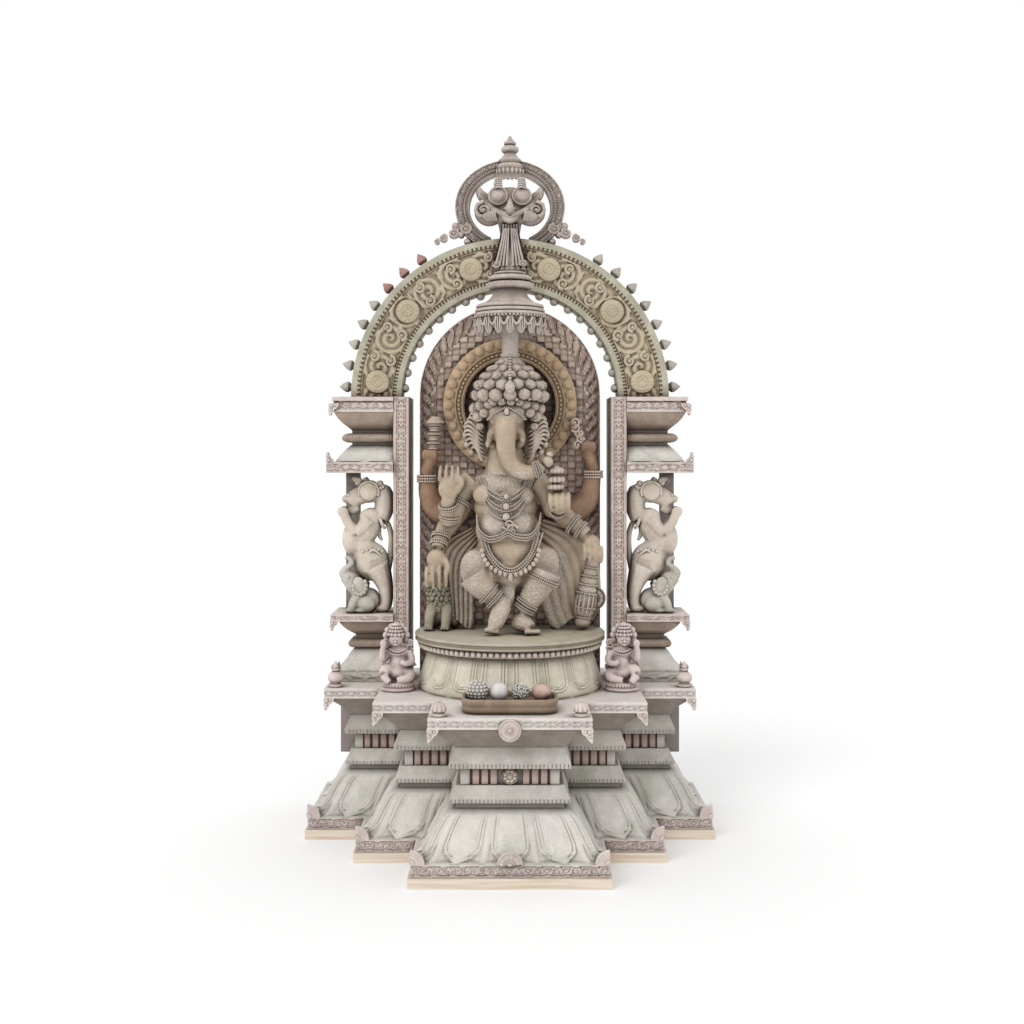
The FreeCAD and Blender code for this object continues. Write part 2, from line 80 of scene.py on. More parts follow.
def mix_colour(tree, share, first, second, blend="MIX"):
    """The colour between first and second at share, each a socket or a value."""
    made = tree.nodes.new("ShaderNodeMix")
    made.data_type = "RGBA"
    made.blend_type = blend
    for socket, value in ((made.inputs[0], share), (made.inputs[6], first), (made.inputs[7], second)):
        if isinstance(value, bpy.types.NodeSocket):
            tree.links.new(value, socket)
        elif isinstance(value, tuple):
            socket.default_value = (*value, 1.0)
        else:
            socket.default_value = value
    return made.outputs[2]


def spread(tree, value, start, end, into=(0.0, 1.0)):
    """The value's stretch from start to end mapped onto the range into."""
    made = add_node(tree, "ShaderNodeMapRange")
    tree.links.new(value, made.inputs["Value"])
    for key, number in zip(("From Min", "From Max", "To Min", "To Max"), (start, end, *into)):
        made.inputs[key].default_value = number
    return made.outputs["Result"]


def stone(name, body, second, light, crevice_shade, rough=(0.55, 0.85), grain=0.5, moss=0.0):
    """Carved stone: two tints in drifts, pale dust and painted highlight on what stands proud, painted shade
    in the crevices.
    """
    if name in bpy.data.materials:
        return bpy.data.materials[name]
    made = bpy.data.materials.new(name)
    made.use_nodes = True
    tree = made.node_tree
    shader = tree.nodes["Principled BSDF"]
    place = tree.nodes.new("ShaderNodeTexCoord").outputs["Object"]

    def cloud(scale, detail, roughness=0.6):
        made = add_node(tree, "ShaderNodeTexNoise", Scale=scale, Detail=detail, Roughness=roughness)
        tree.links.new(place, made.inputs["Vector"])
        return made.outputs["Fac"]

    drift = spread(tree, cloud(3.1, 3.0), 0.38, 0.62)
    blotch = spread(tree, cloud(17.0, 5.0, 0.7), 0.42, 0.66)
    speck = spread(tree, cloud(210.0, 2.0), 0.3, 0.7, (0.86, 1.08))
    colour = mix_colour(tree, drift, body, second)
    colour = mix_colour(tree, spread(tree, blotch, 0, 1, (0.0, 0.55)), colour, light)
    if moss:
        green = spread(tree, cloud(6.3, 4.0), 0.52, 0.64, (0.0, moss))
        colour = mix_colour(tree, green, colour, tint(150, 156, 128))
    # Pale dust and painted highlight: raised edges, by pointiness, go toward the light tint.
    bent = tree.nodes.new("ShaderNodeNewGeometry").outputs["Pointiness"]
    colour = mix_colour(tree, spread(tree, bent, 0.53, 0.66, (0.0, 0.5)), colour, light)
    # Painted shade: ambient occlusion darkens the hollows toward the dark tint.
    hollow = add_node(tree, "ShaderNodeAmbientOcclusion", samples=6, Distance=CREVICE)
    shut = spread(tree, hollow.outputs["AO"], 0.3, 0.98, (1.0, 0.0))
    colour = mix_colour(tree, shut, colour, crevice_shade)
    # Painted shade: concave spots, by pointiness, darken toward the dark tint as well.
    colour = mix_colour(tree, spread(tree, bent, 0.38, 0.49, (0.85, 0.0)), colour, crevice_shade)
    toned = mix_colour(tree, 1.0, colour, (1.0, 1.0, 1.0), "MULTIPLY")
    tree.links.new(speck, toned.node.inputs[7])
    tree.links.new(toned, shader.inputs["Base Color"])
    tree.links.new(spread(tree, blotch, 0, 1, rough), shader.inputs["Roughness"])
    shader.inputs["Specular IOR Level"].default_value = 0.4
    fine = add_node(tree, "ShaderNodeBump", Strength=grain, Distance=0.0012)
    tree.links.new(cloud(260.0, 4.0, 0.7), fine.inputs["Height"])
    coarse = add_node(tree, "ShaderNodeBump", Strength=grain, Distance=0.004)
    tree.links.new(cloud(48.0, 4.0), coarse.inputs["Height"])
    tree.links.new(fine.outputs["Normal"], coarse.inputs["Normal"])
    tree.links.new(coarse.outputs["Normal"], shader.inputs["Normal"])
    return made


# Each stone: its title, body, second, light and dark tints (the light one also a painted highlight on raised
# edges, the dark one painted shade in the crevices), and what differs from the usual finish.
STONES = {
    "pale": ("pale carved stone", (210, 205, 196), (198, 194, 188),
             (226, 222, 216), (84, 78, 66), {"moss": 0.2}),
    "frieze": ("pinkish carved stone", (204, 190, 182), (190, 174, 170),
               (228, 218, 210), (78, 62, 54), {"moss": 0.25}),
    "post": ("mauve pillar stone", (206, 188, 178), (190, 170, 164), (228, 216, 206), (70, 56, 48), {}),
    "khaki": ("khaki arch stone", (190, 174, 146), (176, 164, 138), (208, 198, 176), (62, 42, 29), {}),
    "rim": ("grey green rim stone", (172, 166, 146), (158, 154, 134),
            (202, 196, 180), (78, 60, 47), {"moss": 0.25}),
    "plate": ("brown mauve plate stone", (196, 174, 158), (180, 154, 142),
              (222, 206, 190), (70, 54, 44), {}),
    "halo": ("ochre halo stone", (192, 164, 132), (172, 146, 116), (216, 196, 166), (72, 54, 38), {}),
    "skin": ("rubbed brown stone", (176, 158, 136), (164, 144, 122),
             (196, 180, 160), (78, 62, 48), {"rough": (0.32, 0.5), "grain": 0.15}),
    "cloth": ("grey beige ornament stone", (208, 196, 180), (196, 182, 168),
              (230, 222, 210), (92, 78, 64), {"grain": 0.7}),
    "rust": ("rust brown stone", (150, 118, 92), (126, 98, 78),
             (172, 142, 116), (62, 44, 32), {"rough": (0.35, 0.55), "grain": 0.15}),
    "green": ("green brown stone", (152, 142, 122), (128, 120, 100),
              (186, 178, 158), (48, 42, 30), {"moss": 0.3}),
    "pink": ("pink figure stone", (212, 196, 192), (200, 182, 180), (230, 220, 216), (110, 88, 86), {}),
    "red": ("reddish pilaster stone", (176, 150, 140), (160, 136, 130), (206, 188, 176), (80, 60, 54), {}),
    "tray": ("olive brown tray stone", (146, 124, 104), (132, 112, 94),
             (166, 146, 126), (66, 50, 38), {"rough": (0.3, 0.5), "grain": 0.15}),
    "grey": ("smooth pale grey stone", (216, 210, 208), (204, 198, 198),
             (230, 226, 224), (120, 108, 104), {"rough": (0.4, 0.6), "grain": 0.2}),
    "apple": ("blush brown stone", (196, 168, 152), (180, 146, 128),
              (214, 196, 184), (92, 64, 52), {"rough": (0.3, 0.5), "grain": 0.15}),
    "plain_back": ("plain mauve stone", (138, 126, 122), (126, 116, 112),
                   (158, 148, 142), (70, 60, 54), {}),
    "deck": ("lavender deck stone", (206, 194, 192), (214, 208, 200),
             (226, 220, 214), (130, 116, 110), {"grain": 0.3}),
    "bud": ("grey bud stone", (176, 168, 156), (160, 150, 140),
            (206, 200, 190), (58, 48, 40), {"moss": 0.3}),
    "red_bud": ("red brown bud stone", (158, 116, 108), (142, 98, 92), (190, 158, 148), (58, 36, 32), {}),
    "umbrella": ("mauve umbrella stone", (182, 168, 158), (160, 144, 134),
                 (214, 206, 198), (48, 36, 30), {}),
    "border": ("mauve border stone", (196, 174, 158), (180, 156, 144), (230, 220, 208), (84, 66, 56), {}),
    "hollow": ("shaded hollow stone", (84, 66, 54), (74, 58, 46), (108, 90, 76), (40, 30, 24), {}),
    "yali_green": ("grey green beast stone", (186, 180, 168), (172, 166, 152),
                   (212, 206, 196), (70, 62, 50), {"moss": 0.35}),
    "jewel": ("figure's carved jewellery", (186, 172, 156), (170, 154, 138),
              (208, 196, 182), (84, 68, 56), {"grain": 0.6}),
    "floor": ("grey olive floor stone", (176, 170, 152), (164, 154, 132),
              (196, 188, 172), (84, 72, 56), {"rough": (0.35, 0.55), "grain": 0.15}),
    # Painted shadow for the shaded sides and back of the pillar posts.
    "shadow": ("inner stone in painted shadow", (104, 94, 86), (92, 84, 76), (124, 114, 106), (46, 38, 32), {}),
    "seat": ("cream lotus stone", (216, 208, 192), (204, 198, 178),
             (236, 230, 216), (104, 92, 72), {"moss": 0.3}),
    "moulding": ("moulding stone", (190, 184, 176), (176, 170, 164),
                 (212, 208, 202), (84, 76, 66), {"moss": 0.35}),
    # Painted shade: the cornice tints are taken from the shadow under each deck.
    "cornice": ("cornice stone in painted shade", (140, 130, 120), (128, 118, 108), (164, 154, 144), (62, 52, 44), {}),
    "capital": ("brown capital stone", (160, 142, 126), (148, 130, 116), (190, 174, 160), (58, 46, 38), {}),
    "tongue": ("mask and hoop stone", (176, 162, 152), (160, 146, 138), (210, 200, 192), (60, 48, 42), {}),
}


def finish(name):
    """The material of the stone called name in STONES."""
    title, body, second, light, crevice_shade, rest = STONES[name]
    return stone(title, tint(*body), tint(*second), tint(*light), tint(*crevice_shade), **rest)


def pine():
    """Sawn softwood boards: long grain, a few brown knots."""
    if "pine board" in bpy.data.materials:
        return bpy.data.materials["pine board"]
    made = bpy.data.materials.new("pine board")
    made.use_nodes = True
    tree = made.node_tree
    shader = tree.nodes["Principled BSDF"]
    place = tree.nodes.new("ShaderNodeTexCoord").outputs["Object"]
    along = add_node(tree, "ShaderNodeMapping", Scale=(1.2, 9.0, 30.0))
    tree.links.new(place, along.inputs["Vector"])
    rings = add_node(tree, "ShaderNodeTexNoise", Scale=3.0, Detail=6.0, Distortion=0.4)
    tree.links.new(along.outputs["Vector"], rings.inputs["Vector"])
    grain = spread(tree, rings.outputs["Fac"], 0.35, 0.7)
    colour = mix_colour(tree, grain, tint(222, 210, 196), tint(200, 180, 156))
    knots = add_node(tree, "ShaderNodeTexVoronoi", Scale=3.4)
    spots = add_node(tree, "ShaderNodeMapping", Scale=(1.0, 1.0, 2.4))
    tree.links.new(place, spots.inputs["Vector"])
    tree.links.new(spots.outputs["Vector"], knots.inputs["Vector"])
    colour = mix_colour(tree, spread(tree, knots.outputs["Distance"], 0.03, 0.1, (0.8, 0.0)), colour,
                        tint(150, 116, 84))
    tree.links.new(colour, shader.inputs["Base Color"])
    tree.links.new(spread(tree, grain, 0, 1, (0.6, 0.8)), shader.inputs["Roughness"])
    bump = add_node(tree, "ShaderNodeBump", Strength=0.3, Distance=0.001)
    tree.links.new(rings.outputs["Fac"], bump.inputs["Height"])
    tree.links.new(bump.outputs["Normal"], shader.inputs["Normal"])
    return made


# ---------------------------------------------------------------- shaping

def place_grid(bm, across, up, where):
    """A grid of across by up cells whose points go to where(u, v), with u and v from 0 to 1."""
    made = bmesh.ops.create_grid(bm, x_segments=across, y_segments=up, size=0.5)["verts"]
    flat = np.array([vert.co[:2] for vert in made])
    flat = (flat - flat.min(0)) / (flat.max(0) - flat.min(0))
    for vert, spot in zip(made, where(flat[:, 0], flat[:, 1])):
        vert.co = spot
    return made, flat


def edge_row(made, flat, axis, value):
    """The grid's points along one edge, in order."""
    row = [(flat[i][1 - axis], vert) for i, vert in enumerate(made) if abs(flat[i][axis] - value) < 1e-6]
    return [vert for _, vert in sorted(row, key=lambda item: item[0])]


def panel(bm, across, up, where, back):
    """A grid with relief, its edges carried back to the plane y = back and shut there."""
    made, _ = place_grid(bm, across, up, where)
    rim = [edge for edge in {e for v in made for e in v.link_edges} if edge.is_boundary]
    run = bmesh.ops.extrude_edge_only(bm, edges=rim)["geom"]
    far = [item for item in run if isinstance(item, bmesh.types.BMVert)]
    for vert in far:
        vert.co.y = back
    ends = set(far)
    shut = [e for v in far for e in v.link_edges
            if e.is_boundary and e.verts[0] in ends and e.verts[1] in ends]
    bmesh.ops.holes_fill(bm, edges=list(set(shut)))
    return made


def stations(points):
    """Heights and recesses of each row, from (height, recess, rows to the next) points."""
    heights = [points[0][0]]
    recesses = [points[0][1]]
    for (z0, r0, rows), (z1, r1, _) in zip(points, points[1:]):
        for step in range(1, rows + 1):
            heights.append(z0 + (z1 - z0) * step / rows)
            recesses.append(r0 + (r1 - r0) * step / rows)
    return np.array(heights), np.array(recesses)


def wrapped_course(bm, half, front, back, points, relief, pitch=6.0):
    """Masonry whose profile runs round its left end, front and right end.

    relief(along, z, end, reach) gives how far the surface stands out; along is measured from the
    middle on the front and from the front corner on an end, and reach is half the width there.
    All in mm but the finished mesh.
    """
    heights, recesses = stations(points)
    rows = len(heights) - 1
    ahead = max(8, int(2 * half / pitch))
    side = max(4, int((back - front) / (1.6 * pitch)))
    total = ahead + 2 * side

    def where(u, v):
        column = np.rint(u * total).astype(int)
        row = np.rint(v * rows).astype(int)
        z = heights[row]
        recess = recesses[row]
        share = (column - side) / ahead
        on_front = (column >= side) & (column <= side + ahead)
        reach = half - recess
        depth = np.where(column < side, 1 - column / side, (column - side - ahead) / side)
        depth = np.clip(depth, 0, 1)
        along = np.where(on_front, (2 * share - 1) * reach, depth * (back - front - recess))
        out = relief(along, z, ~on_front, reach)
        inner = (row > 0) & (row < rows)
        recess = recess - np.where(inner, out, 0)
        reach = half - recess
        x = np.where(on_front, (2 * np.clip(share, 0, 1) - 1) * reach,
                     np.where(column < side, -reach, reach))
        y = np.where(on_front, front + recess, front + recess + depth * (back - front - recess))
        return np.stack([x, y, z], 1) * MM

    made, flat = place_grid(bm, total, rows, where)
    for axis, value in ((1, 0.0), (1, 1.0)):
        bm.faces.new(edge_row(made, flat, axis, value))
    left = edge_row(made, flat, 0, 0.0)
    right = edge_row(made, flat, 0, 1.0)
    bm.faces.new(left + right[::-1])
    return made


def ellipsoid(bm, centre, radii, turn=None, detail=3):
    """A ball stretched to three radii; turn is an angle in degrees and an axis."""
    spin = Matrix.Rotation(math.radians(turn[0]), 4, turn[1]) if turn else Matrix.Identity(4)
    stretch = Matrix.Diagonal((*[r * MM for r in radii], 1.0))
    matrix = Matrix.Translation(Vector(centre) * MM) @ spin @ stretch
    return bmesh.ops.create_icosphere(bm, subdivisions=detail, radius=1.0, matrix=matrix)["verts"]


def smooth_path(points, steps):
    """Catmull-Rom points through the given ones; works on any number of coordinates."""
    spots = np.array(points, float)
    padded = np.vstack([2 * spots[0] - spots[1], spots, 2 * spots[-1] - spots[-2]])
    made = []
    for i in range(1, len(padded) - 2):
        a, b, c, d = padded[i - 1:i + 3]
        for step in range(steps):
            t = step / steps
            made.append(0.5 * (2 * b + (c - a) * t + (2 * a - 5 * b + 4 * c - d) * t * t
                               + (3 * b - a - 3 * c + d) * t ** 3))
    made.append(spots[-1])
    return np.array(made)


def tube(bm, points, radii, around=10, steps=4, across=None):
    """Tapered round bar through points in mm."""
    line = smooth_path([(*p, r) for p, r in zip(points, radii)], steps)
    count = len(line)
    run = np.gradient(line[:, :3], axis=0)
    run /= np.linalg.norm(run, axis=1)[:, None] + 1e-9
    start = np.array(across if across is not None else (0.0, 1.0, 0.0), float)
    sides = []
    for direction in run:
        start = start - direction * start.dot(direction)
        if np.linalg.norm(start) < 1e-4:
            start = np.array((1.0, 0.0, 0.0)) - direction * direction[0]
        start = start / np.linalg.norm(start)
        sides.append(start.copy())
    sides = np.array(sides)
    ups = np.cross(run, sides)
    total = count + 1

    def where(u, v):
        row = np.rint(u * total).astype(int)
        at = np.clip(row - 1, 0, count - 1)
        open_end = (row > 0) & (row < total)
        angle = v * 2 * math.pi
        radius = line[at, 3] * open_end
        spot = line[at, :3] + sides[at] * (np.cos(angle) * radius)[:, None]
        spot = spot + ups[at] * (np.sin(angle) * radius)[:, None]
        return spot * MM

    made, _ = place_grid(bm, total, around, where)
    bmesh.ops.remove_doubles(bm, verts=made, dist=1e-6)


def spiral(bm, centre, size, thick, turns=1.5, start=0.0, way=1, plane=((1, 0, 0), (0, 0, 1))):
    """A curl in a plane, thick outside and thin at its middle."""
    first, second = np.array(plane[0], float), np.array(plane[1], float)
    count = int(turns * 8) + 1
    points = []
    radii = []
    for i in range(count):
        share = i / (count - 1)
        angle = math.radians(start) + way * share * turns * 2 * math.pi
        reach = size * (1 - share * 0.86)
        points.append(np.array(centre) + first * math.cos(angle) * reach + second * math.sin(angle) * reach)
        radii.append(thick * (1 - 0.5 * share))
    depth = np.cross(first, second)
    tube(bm, points, radii, around=6, steps=1, across=depth)
    ellipsoid(bm, centre, (thick * 1.1,) * 3, detail=1)


def clock(count):
    """The angles of count even steps round a circle."""
    return np.linspace(0, 2 * math.pi, count + 1)[:-1]


def beads(bm, spots, radius, detail=1, squash=(1, 1, 1)):
    """A ball at each spot."""
    for spot in spots:
        ellipsoid(bm, spot, [radius * s for s in squash], detail=detail)


def turned(bm, outline, centre, count=32, lobes=0, depth=0.0, squash=1.0):
    """A shape turned about an upright axis from (radius, height) points in mm."""
    line = np.array(outline, float)
    rows = len(line) - 1

    def where(u, v):
        row = np.rint(v * rows).astype(int)
        angle = u * 2 * math.pi
        radius = line[row, 0]
        if lobes:
            radius = radius * (1 + depth * (np.abs(np.sin(lobes * angle / 2)) - 0.5))
        x = centre[0] + radius * np.cos(angle)
        y = centre[1] + radius * np.sin(angle) * squash
        return np.stack([x, y, centre[2] + line[row, 1]], 1) * MM

    made, _ = place_grid(bm, count, rows, where)
    bmesh.ops.remove_doubles(bm, verts=made, dist=1e-6)


def rosette(bm, centre, radius, height, outline, petals=8, rings=12, around=48, bottom=-6.0):
    """Round boss that faces forward: outline(share, angle, petals) times height is its relief."""
    normal, first, second = np.array(((0.0, -1.0, 0.0), (1.0, 0.0, 0.0), (0.0, 0.0, 1.0)))

    def where(u, v):
        angle = u * 2 * math.pi
        row = v * (rings + 1)
        share = np.clip(row / rings, 0, 1)
        rise = np.where(row > rings + 0.5, bottom, height * outline(share, angle, petals))
        reach = radius * share
        spot = np.array(centre) + first * (np.cos(angle) * reach)[:, None]
        spot = spot - second * (np.sin(angle) * reach)[:, None] + normal * rise[:, None]
        return spot * MM

    made, _ = place_grid(bm, around, rings + 1, where)
    bmesh.ops.remove_doubles(bm, verts=made, dist=1e-6)


def slab(bm, lows, highs, bevel):
    """An upright block from its lowest to its highest corner in mm, its edges eased."""
    lows, highs = Vector(lows) * MM, Vector(highs) * MM
    matrix = Matrix.Translation((lows + highs) / 2) @ Matrix.Diagonal((*(highs - lows), 1.0))
    made = bmesh.ops.create_cube(bm, size=1.0, matrix=matrix)["verts"]
    edges = list({e for v in made for e in v.link_edges})
    bmesh.ops.bevel(bm, geom=edges, offset=bevel * MM, segments=2, profile=0.5, affect="EDGES", material=-1)
    return made


def piece(bm, name, finishes, body, nodes, angle=40.0):
    """Turn a bmesh into a finished piece that rides on a body and stands for CAD nodes."""
    bmesh.ops.recalc_face_normals(bm, faces=bm.faces[:])
    mesh = bpy.data.meshes.new(name)
    bm.to_mesh(mesh)
    bm.free()
    made = bpy.data.objects.new(name, mesh)
    bpy.context.scene.collection.objects.link(made)
    for each in finishes:
        mesh.materials.append(each)
    mesh.polygons.foreach_set("use_smooth", [True] * len(mesh.polygons))
    mesh.set_sharp_from_angle(angle=math.radians(angle))
    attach(made, body)
    if nodes:
        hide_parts(*nodes)
    return made


# ---------------------------------------------------------------- carved patterns, in mm

def ridge(distance, width):
    """1 on a line, 0 at width from it, rounded."""
    return np.sqrt(np.clip(1 - (distance / width) ** 2, 0, 1))


def dome(ds, dt, radius):
    """Height of a round boss from 0 to 1, round the middle of its cell."""
    return np.sqrt(np.clip(1 - (ds ** 2 + dt ** 2) / radius ** 2, 0, 1))


def cell(s, pitch):
    """Distance from the middle of the repeat that s falls in, and the repeat's number."""
    number = np.rint(s / pitch)
    return s - number * pitch, number


def lozenge_band(s, t, pitch, height):
    """Outlined diamonds with a boss in each, between two fillets; t is from the band's middle."""
    ds, _ = cell(s, pitch)
    spread_out = np.abs(ds) / (pitch * 0.5) + np.abs(t) / (height * 0.5)
    outline = ridge(np.abs(spread_out - 0.78), 0.2)
    boss = dome(ds, t, height * 0.2)
    between = dome(np.abs(ds) - pitch * 0.5, t, height * 0.22)
    fillet = ridge(np.abs(t) - height * 0.5, height * 0.1)
    return np.maximum.reduce([outline, boss, 0.8 * between, fillet])


def scroll_band(s, t, pitch, height):
    """A running vine: a curl in each repeat, turned up and down by turns."""
    ds, number = cell(s, pitch)
    flip = np.where(number % 2 == 0, 1.0, -1.0)
    angle = np.arctan2(t * flip, ds)
    reach = np.hypot(ds, t) / (height * 0.5)
    winding = (reach * 2.1 - angle / (2 * math.pi)) % 1.0
    curl = ridge(np.abs(winding - 0.5), 0.36) * (reach < 1.15)
    leaf = dome(np.abs(ds) - pitch * 0.5, t + flip * height * 0.22, height * 0.2)
    return np.maximum(curl, leaf)


def dentils(s, pitch):
    """Square teeth along a course."""
    ds, _ = cell(s, pitch)
    return np.clip(1.6 - np.abs(ds) / (pitch * 0.5) * 2.2, 0, 1)


# ---------------------------------------------------------------- blocks and ears

def span(node):
    """A node's lowest and highest corners at rest, in mm."""
    lows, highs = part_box(node)
    return np.array(lows) / MM, np.array(highs) / MM


def paint(bm, before, number):
    """Give the faces that are not in before the finish of that number."""
    for face in bm.faces:
        if face not in before:
            face.material_index = number


def mirror_copy(bm):
    """Add the mirror image on the other side of the shrine."""
    copy = bmesh.ops.duplicate(bm, geom=bm.verts[:] + bm.edges[:] + bm.faces[:])["geom"]
    verts = [item for item in copy if isinstance(item, bmesh.types.BMVert)]
    bmesh.ops.scale(bm, vec=(-1, 1, 1), verts=verts)


def flip_side(bm, sign):
    """Turn a piece made for the right into the left one where sign is -1."""
    if sign < 0:
        bmesh.ops.scale(bm, vec=(-1, 1, 1), verts=bm.verts[:])


def plate(bm, outline, origin, first, second, thick):
    """A flat piece from an outline in the plane of two directions, with a thickness vector."""
    origin, first, second, thick = (Vector(item) for item in (origin, first, second, thick))
    verts = [bm.verts.new((origin + first * a + second * b) * MM) for a, b in outline]
    face = bm.faces.new(verts)
    run = bmesh.ops.extrude_face_region(bm, geom=[face])["geom"]
    bmesh.ops.translate(bm, vec=thick * MM, verts=[v for v in run if isinstance(v, bmesh.types.BMVert)])


EAR = ((0, 0), (42, 0), (40, -12), (32, -22), (24, -27), (20, -36), (12, -42), (7, -49), (0, -50))
HORN = ((0, 0), (40, 0), (34, 10), (24, 20), (14, 34), (6, 44), (0, 46))


def fit_inside(bm, lows, highs, margin=4.0, also=()):
    """Shrink a carving, and what sits on it, evenly along each axis where it reaches past its block."""
    spots = np.array([vert.co for vert in bm.verts]) / MM
    for axis in range(3):
        least, most = spots[:, axis].min(), spots[:, axis].max()
        start, end = max(least, lows[axis] - margin), min(most, highs[axis] + margin)
        share = (end - start) / (most - least)
        for mesh in (bm, *also):
            for vert in mesh.verts:
                vert.co[axis] = (start + (vert.co[axis] / MM - least) * share) * MM


def joined(bm, extra):
    """Add another bmesh's shapes to bm and free it."""
    data = bpy.data.meshes.new("extra")
    extra.to_mesh(data)
    extra.free()
    bm.from_mesh(data)
    bpy.data.meshes.remove(data)


EAR_THICK = 11.0


def corner_ears(bm, x, y, z, outline=EAR, size=1.0):
    """A leaf at a slab's right front corner: one on the front face and one on the end."""
    outline = [(a * size, b * size) for a, b in outline]
    plate(bm, outline, (x, y, z), (-1, 0, 0), (0, 0, 1), (0, EAR_THICK, 0))
    plate(bm, [(a + EAR_THICK, b) for a, b in outline if a + EAR_THICK < 60], (x - 0.6, y - 0.4, z),
          (0, 1, 0), (0, 0, 1), (-EAR_THICK, 0, 0))
    up = 1 if outline[-1][1] > 0 else -1
    for a, b, r in ((12, 10, 8), (26, 9, 6), (10, 27, 6)):
        spot = (x - a * size, y - 1, z + up * b * size)
        ellipsoid(bm, spot, (r * size, 4, r * size), detail=2)
        ellipsoid(bm, (x, y + (a + 4) * size, spot[2]), (4, r * size, r * size), detail=2)


# ---------------------------------------------------------------- base

BOARD_THICK = 38.0
DECK_THICK = 42.0
COURSE_OVERLAP = 150.0
FRIEZE_RECESS = 9.0
LIP_RECESS = 42.0
PETAL_PITCH = 181.0
PETAL_FROM_CORNER = 142.0
SLOPE = ((88, 42, 2), (93, 45, 2), (104, 55, 3), (120, 63, 4), (139, 72, 4), (160, 83, 4), (182, 94, 4),
         (203, 107, 4), (221, 119, 3), (234, 133, 3), (242, 149, 2), (249, 166, 1))


def petal_relief(from_corner, z, foot, top):
    """Broad lotus petals hanging over the slope, with doubled outlines and a slim tip between."""
    ds, _ = cell(from_corner - PETAL_FROM_CORNER, PETAL_PITCH)
    side = np.abs(ds)
    rise = (z - foot) / (top - foot)
    bend = foot + 0.36 * (top - foot)
    under = np.where(z < bend, (bend - z) * 1.25, 0.0)
    edge = np.hypot(side, under) - 70.0
    bulge = 9.0 * np.sqrt(np.clip(1 - (side / 74.0) ** 2, 0, 1)) * np.clip(1.15 - rise, 0.2, 1)
    lines = 4.5 * ridge(edge, 5.0) + 3.6 * ridge(edge + 15.0, 4.5)
    tip = 6.0 * np.sqrt(np.clip(1 - ((side - PETAL_PITCH / 2) / 17.0) ** 2, 0, 1))
    fade = np.clip((1 - rise) * 9, 0, 1)
    return (bulge + lines + tip) * fade


def build_lotus_courses():
    """Each stage's sloping course of lotus petals over a carved plinth."""
    for order, tier in enumerate(TIERS):
        lows, highs = span(tier + "_plank")
        half, front = highs[0], lows[1]
        last = order == len(TIERS) - 1
        back = highs[1] if last else highs[1] + COURSE_OVERLAP
        lift = highs[2] - BOARD_THICK

        def relief(along, z, end, reach):
            z = z - lift
            lip = half - LIP_RECESS
            from_corner = np.where(end, along, lip * (1 - np.abs(along) / np.maximum(reach, 1)))
            petals = petal_relief(from_corner, z, 88.0, 249.0)
            ds, _ = cell(from_corner - PETAL_FROM_CORNER, PETAL_PITCH / 2)
            petals = petals + 9.0 * np.cos(4 * math.pi * ds / PETAL_PITCH) * np.clip((112.0 - z) / 22.0, 0, 1)
            carving = 4.5 * scroll_band(np.where(end, along - half, along), z - 62.0, 34.0, 32.0) - 4.0
            carving = np.where(np.abs(z - 62.0) > 18.0, 0.0, carving)
            return np.where(z > 87.0, petals, carving)

        points = [(38, FRIEZE_RECESS, 12), (86, FRIEZE_RECESS, 1), (87, 20, 2), (87.5, LIP_RECESS - 2, 1)]
        points = [(z + lift, r, *rest) for z, r, *rest in points + [tuple(p) for p in SLOPE]]
        points = [(p[0], p[1], p[2] if len(p) > 2 else 1) for p in points]
        bm = bmesh.new()
        wrapped_course(bm, half, front, back, points, relief, pitch=5.0)
        for face in bm.faces:
            middle = face.calc_center_median()
            face.material_index = 0 if middle.z > (86.5 + lift) * MM else 1
        before = set(bm.faces)
        for sign in (-1, 1):
            corner = (sign * (half - FRIEZE_RECESS), front + FRIEZE_RECESS, 86.0 + lift)
            for size, thick in ((48, 5.5), (36, 5), (24, 5), (12, 8)):
                arc = [math.radians(a) for a in range(0, 91, 15)]
                points = [(corner[0] - sign * size * math.cos(a), corner[1] + 4,
                           corner[2] + size * math.sin(a))
                          for a in arc]
                tube(bm, points, [thick] * 7, around=8, steps=1)
                points = [(corner[0] - sign * 4, corner[1] + size * math.cos(a),
                           corner[2] + size * math.sin(a))
                          for a in arc]
                tube(bm, points, [thick] * 7, around=8, steps=1)
            made = ellipsoid(bm, corner, (46, 46, 46), detail=3)
            for vert in made:
                vert.co.x = sign * min(sign * vert.co.x, sign * corner[0] * MM)
                vert.co.y = max(vert.co.y, corner[1] * MM)
                vert.co.z = max(vert.co.z, corner[2] * MM)
        if order == 0:
            half_flower(bm, (0.0, front + 8.0, 84.0 + lift), 48.0)
        paint(bm, before, 1)
        piece(bm, tier + "_lotus_base", [finish("pale"), finish("frieze")], "root", [tier + "_lotus_course"])


def flower(share, angle, petals):
    """A ring, a wreath of petals and a raised middle."""
    wreath = (0.45 + 0.3 * np.abs(np.sin(petals * angle / 2))) * ridge(share - 0.62, 0.24)
    ring = 0.8 * ridge(share - 0.92, 0.08)
    inner = 0.75 * ridge(share - 0.34, 0.07)
    boss = 1.0 * np.sqrt(np.clip(1 - (share / 0.24) ** 2, 0, 1))
    return np.maximum.reduce([wreath, ring, inner, boss, np.full_like(share, 0.25)]) * (share < 0.999)


def half_flower(bm, centre, radius):
    """The upper half of a ribbed flower, shut along its flat foot."""
    before = set(bm.verts)
    rosette(bm, centre, radius, 8.0, flower, petals=11, rings=14, around=44)
    made = [vert for vert in bm.verts if vert not in before]
    for vert in made:
        vert.co.z = max(vert.co.z, centre[2] * MM)
    bmesh.ops.remove_doubles(bm, verts=made, dist=1e-6)


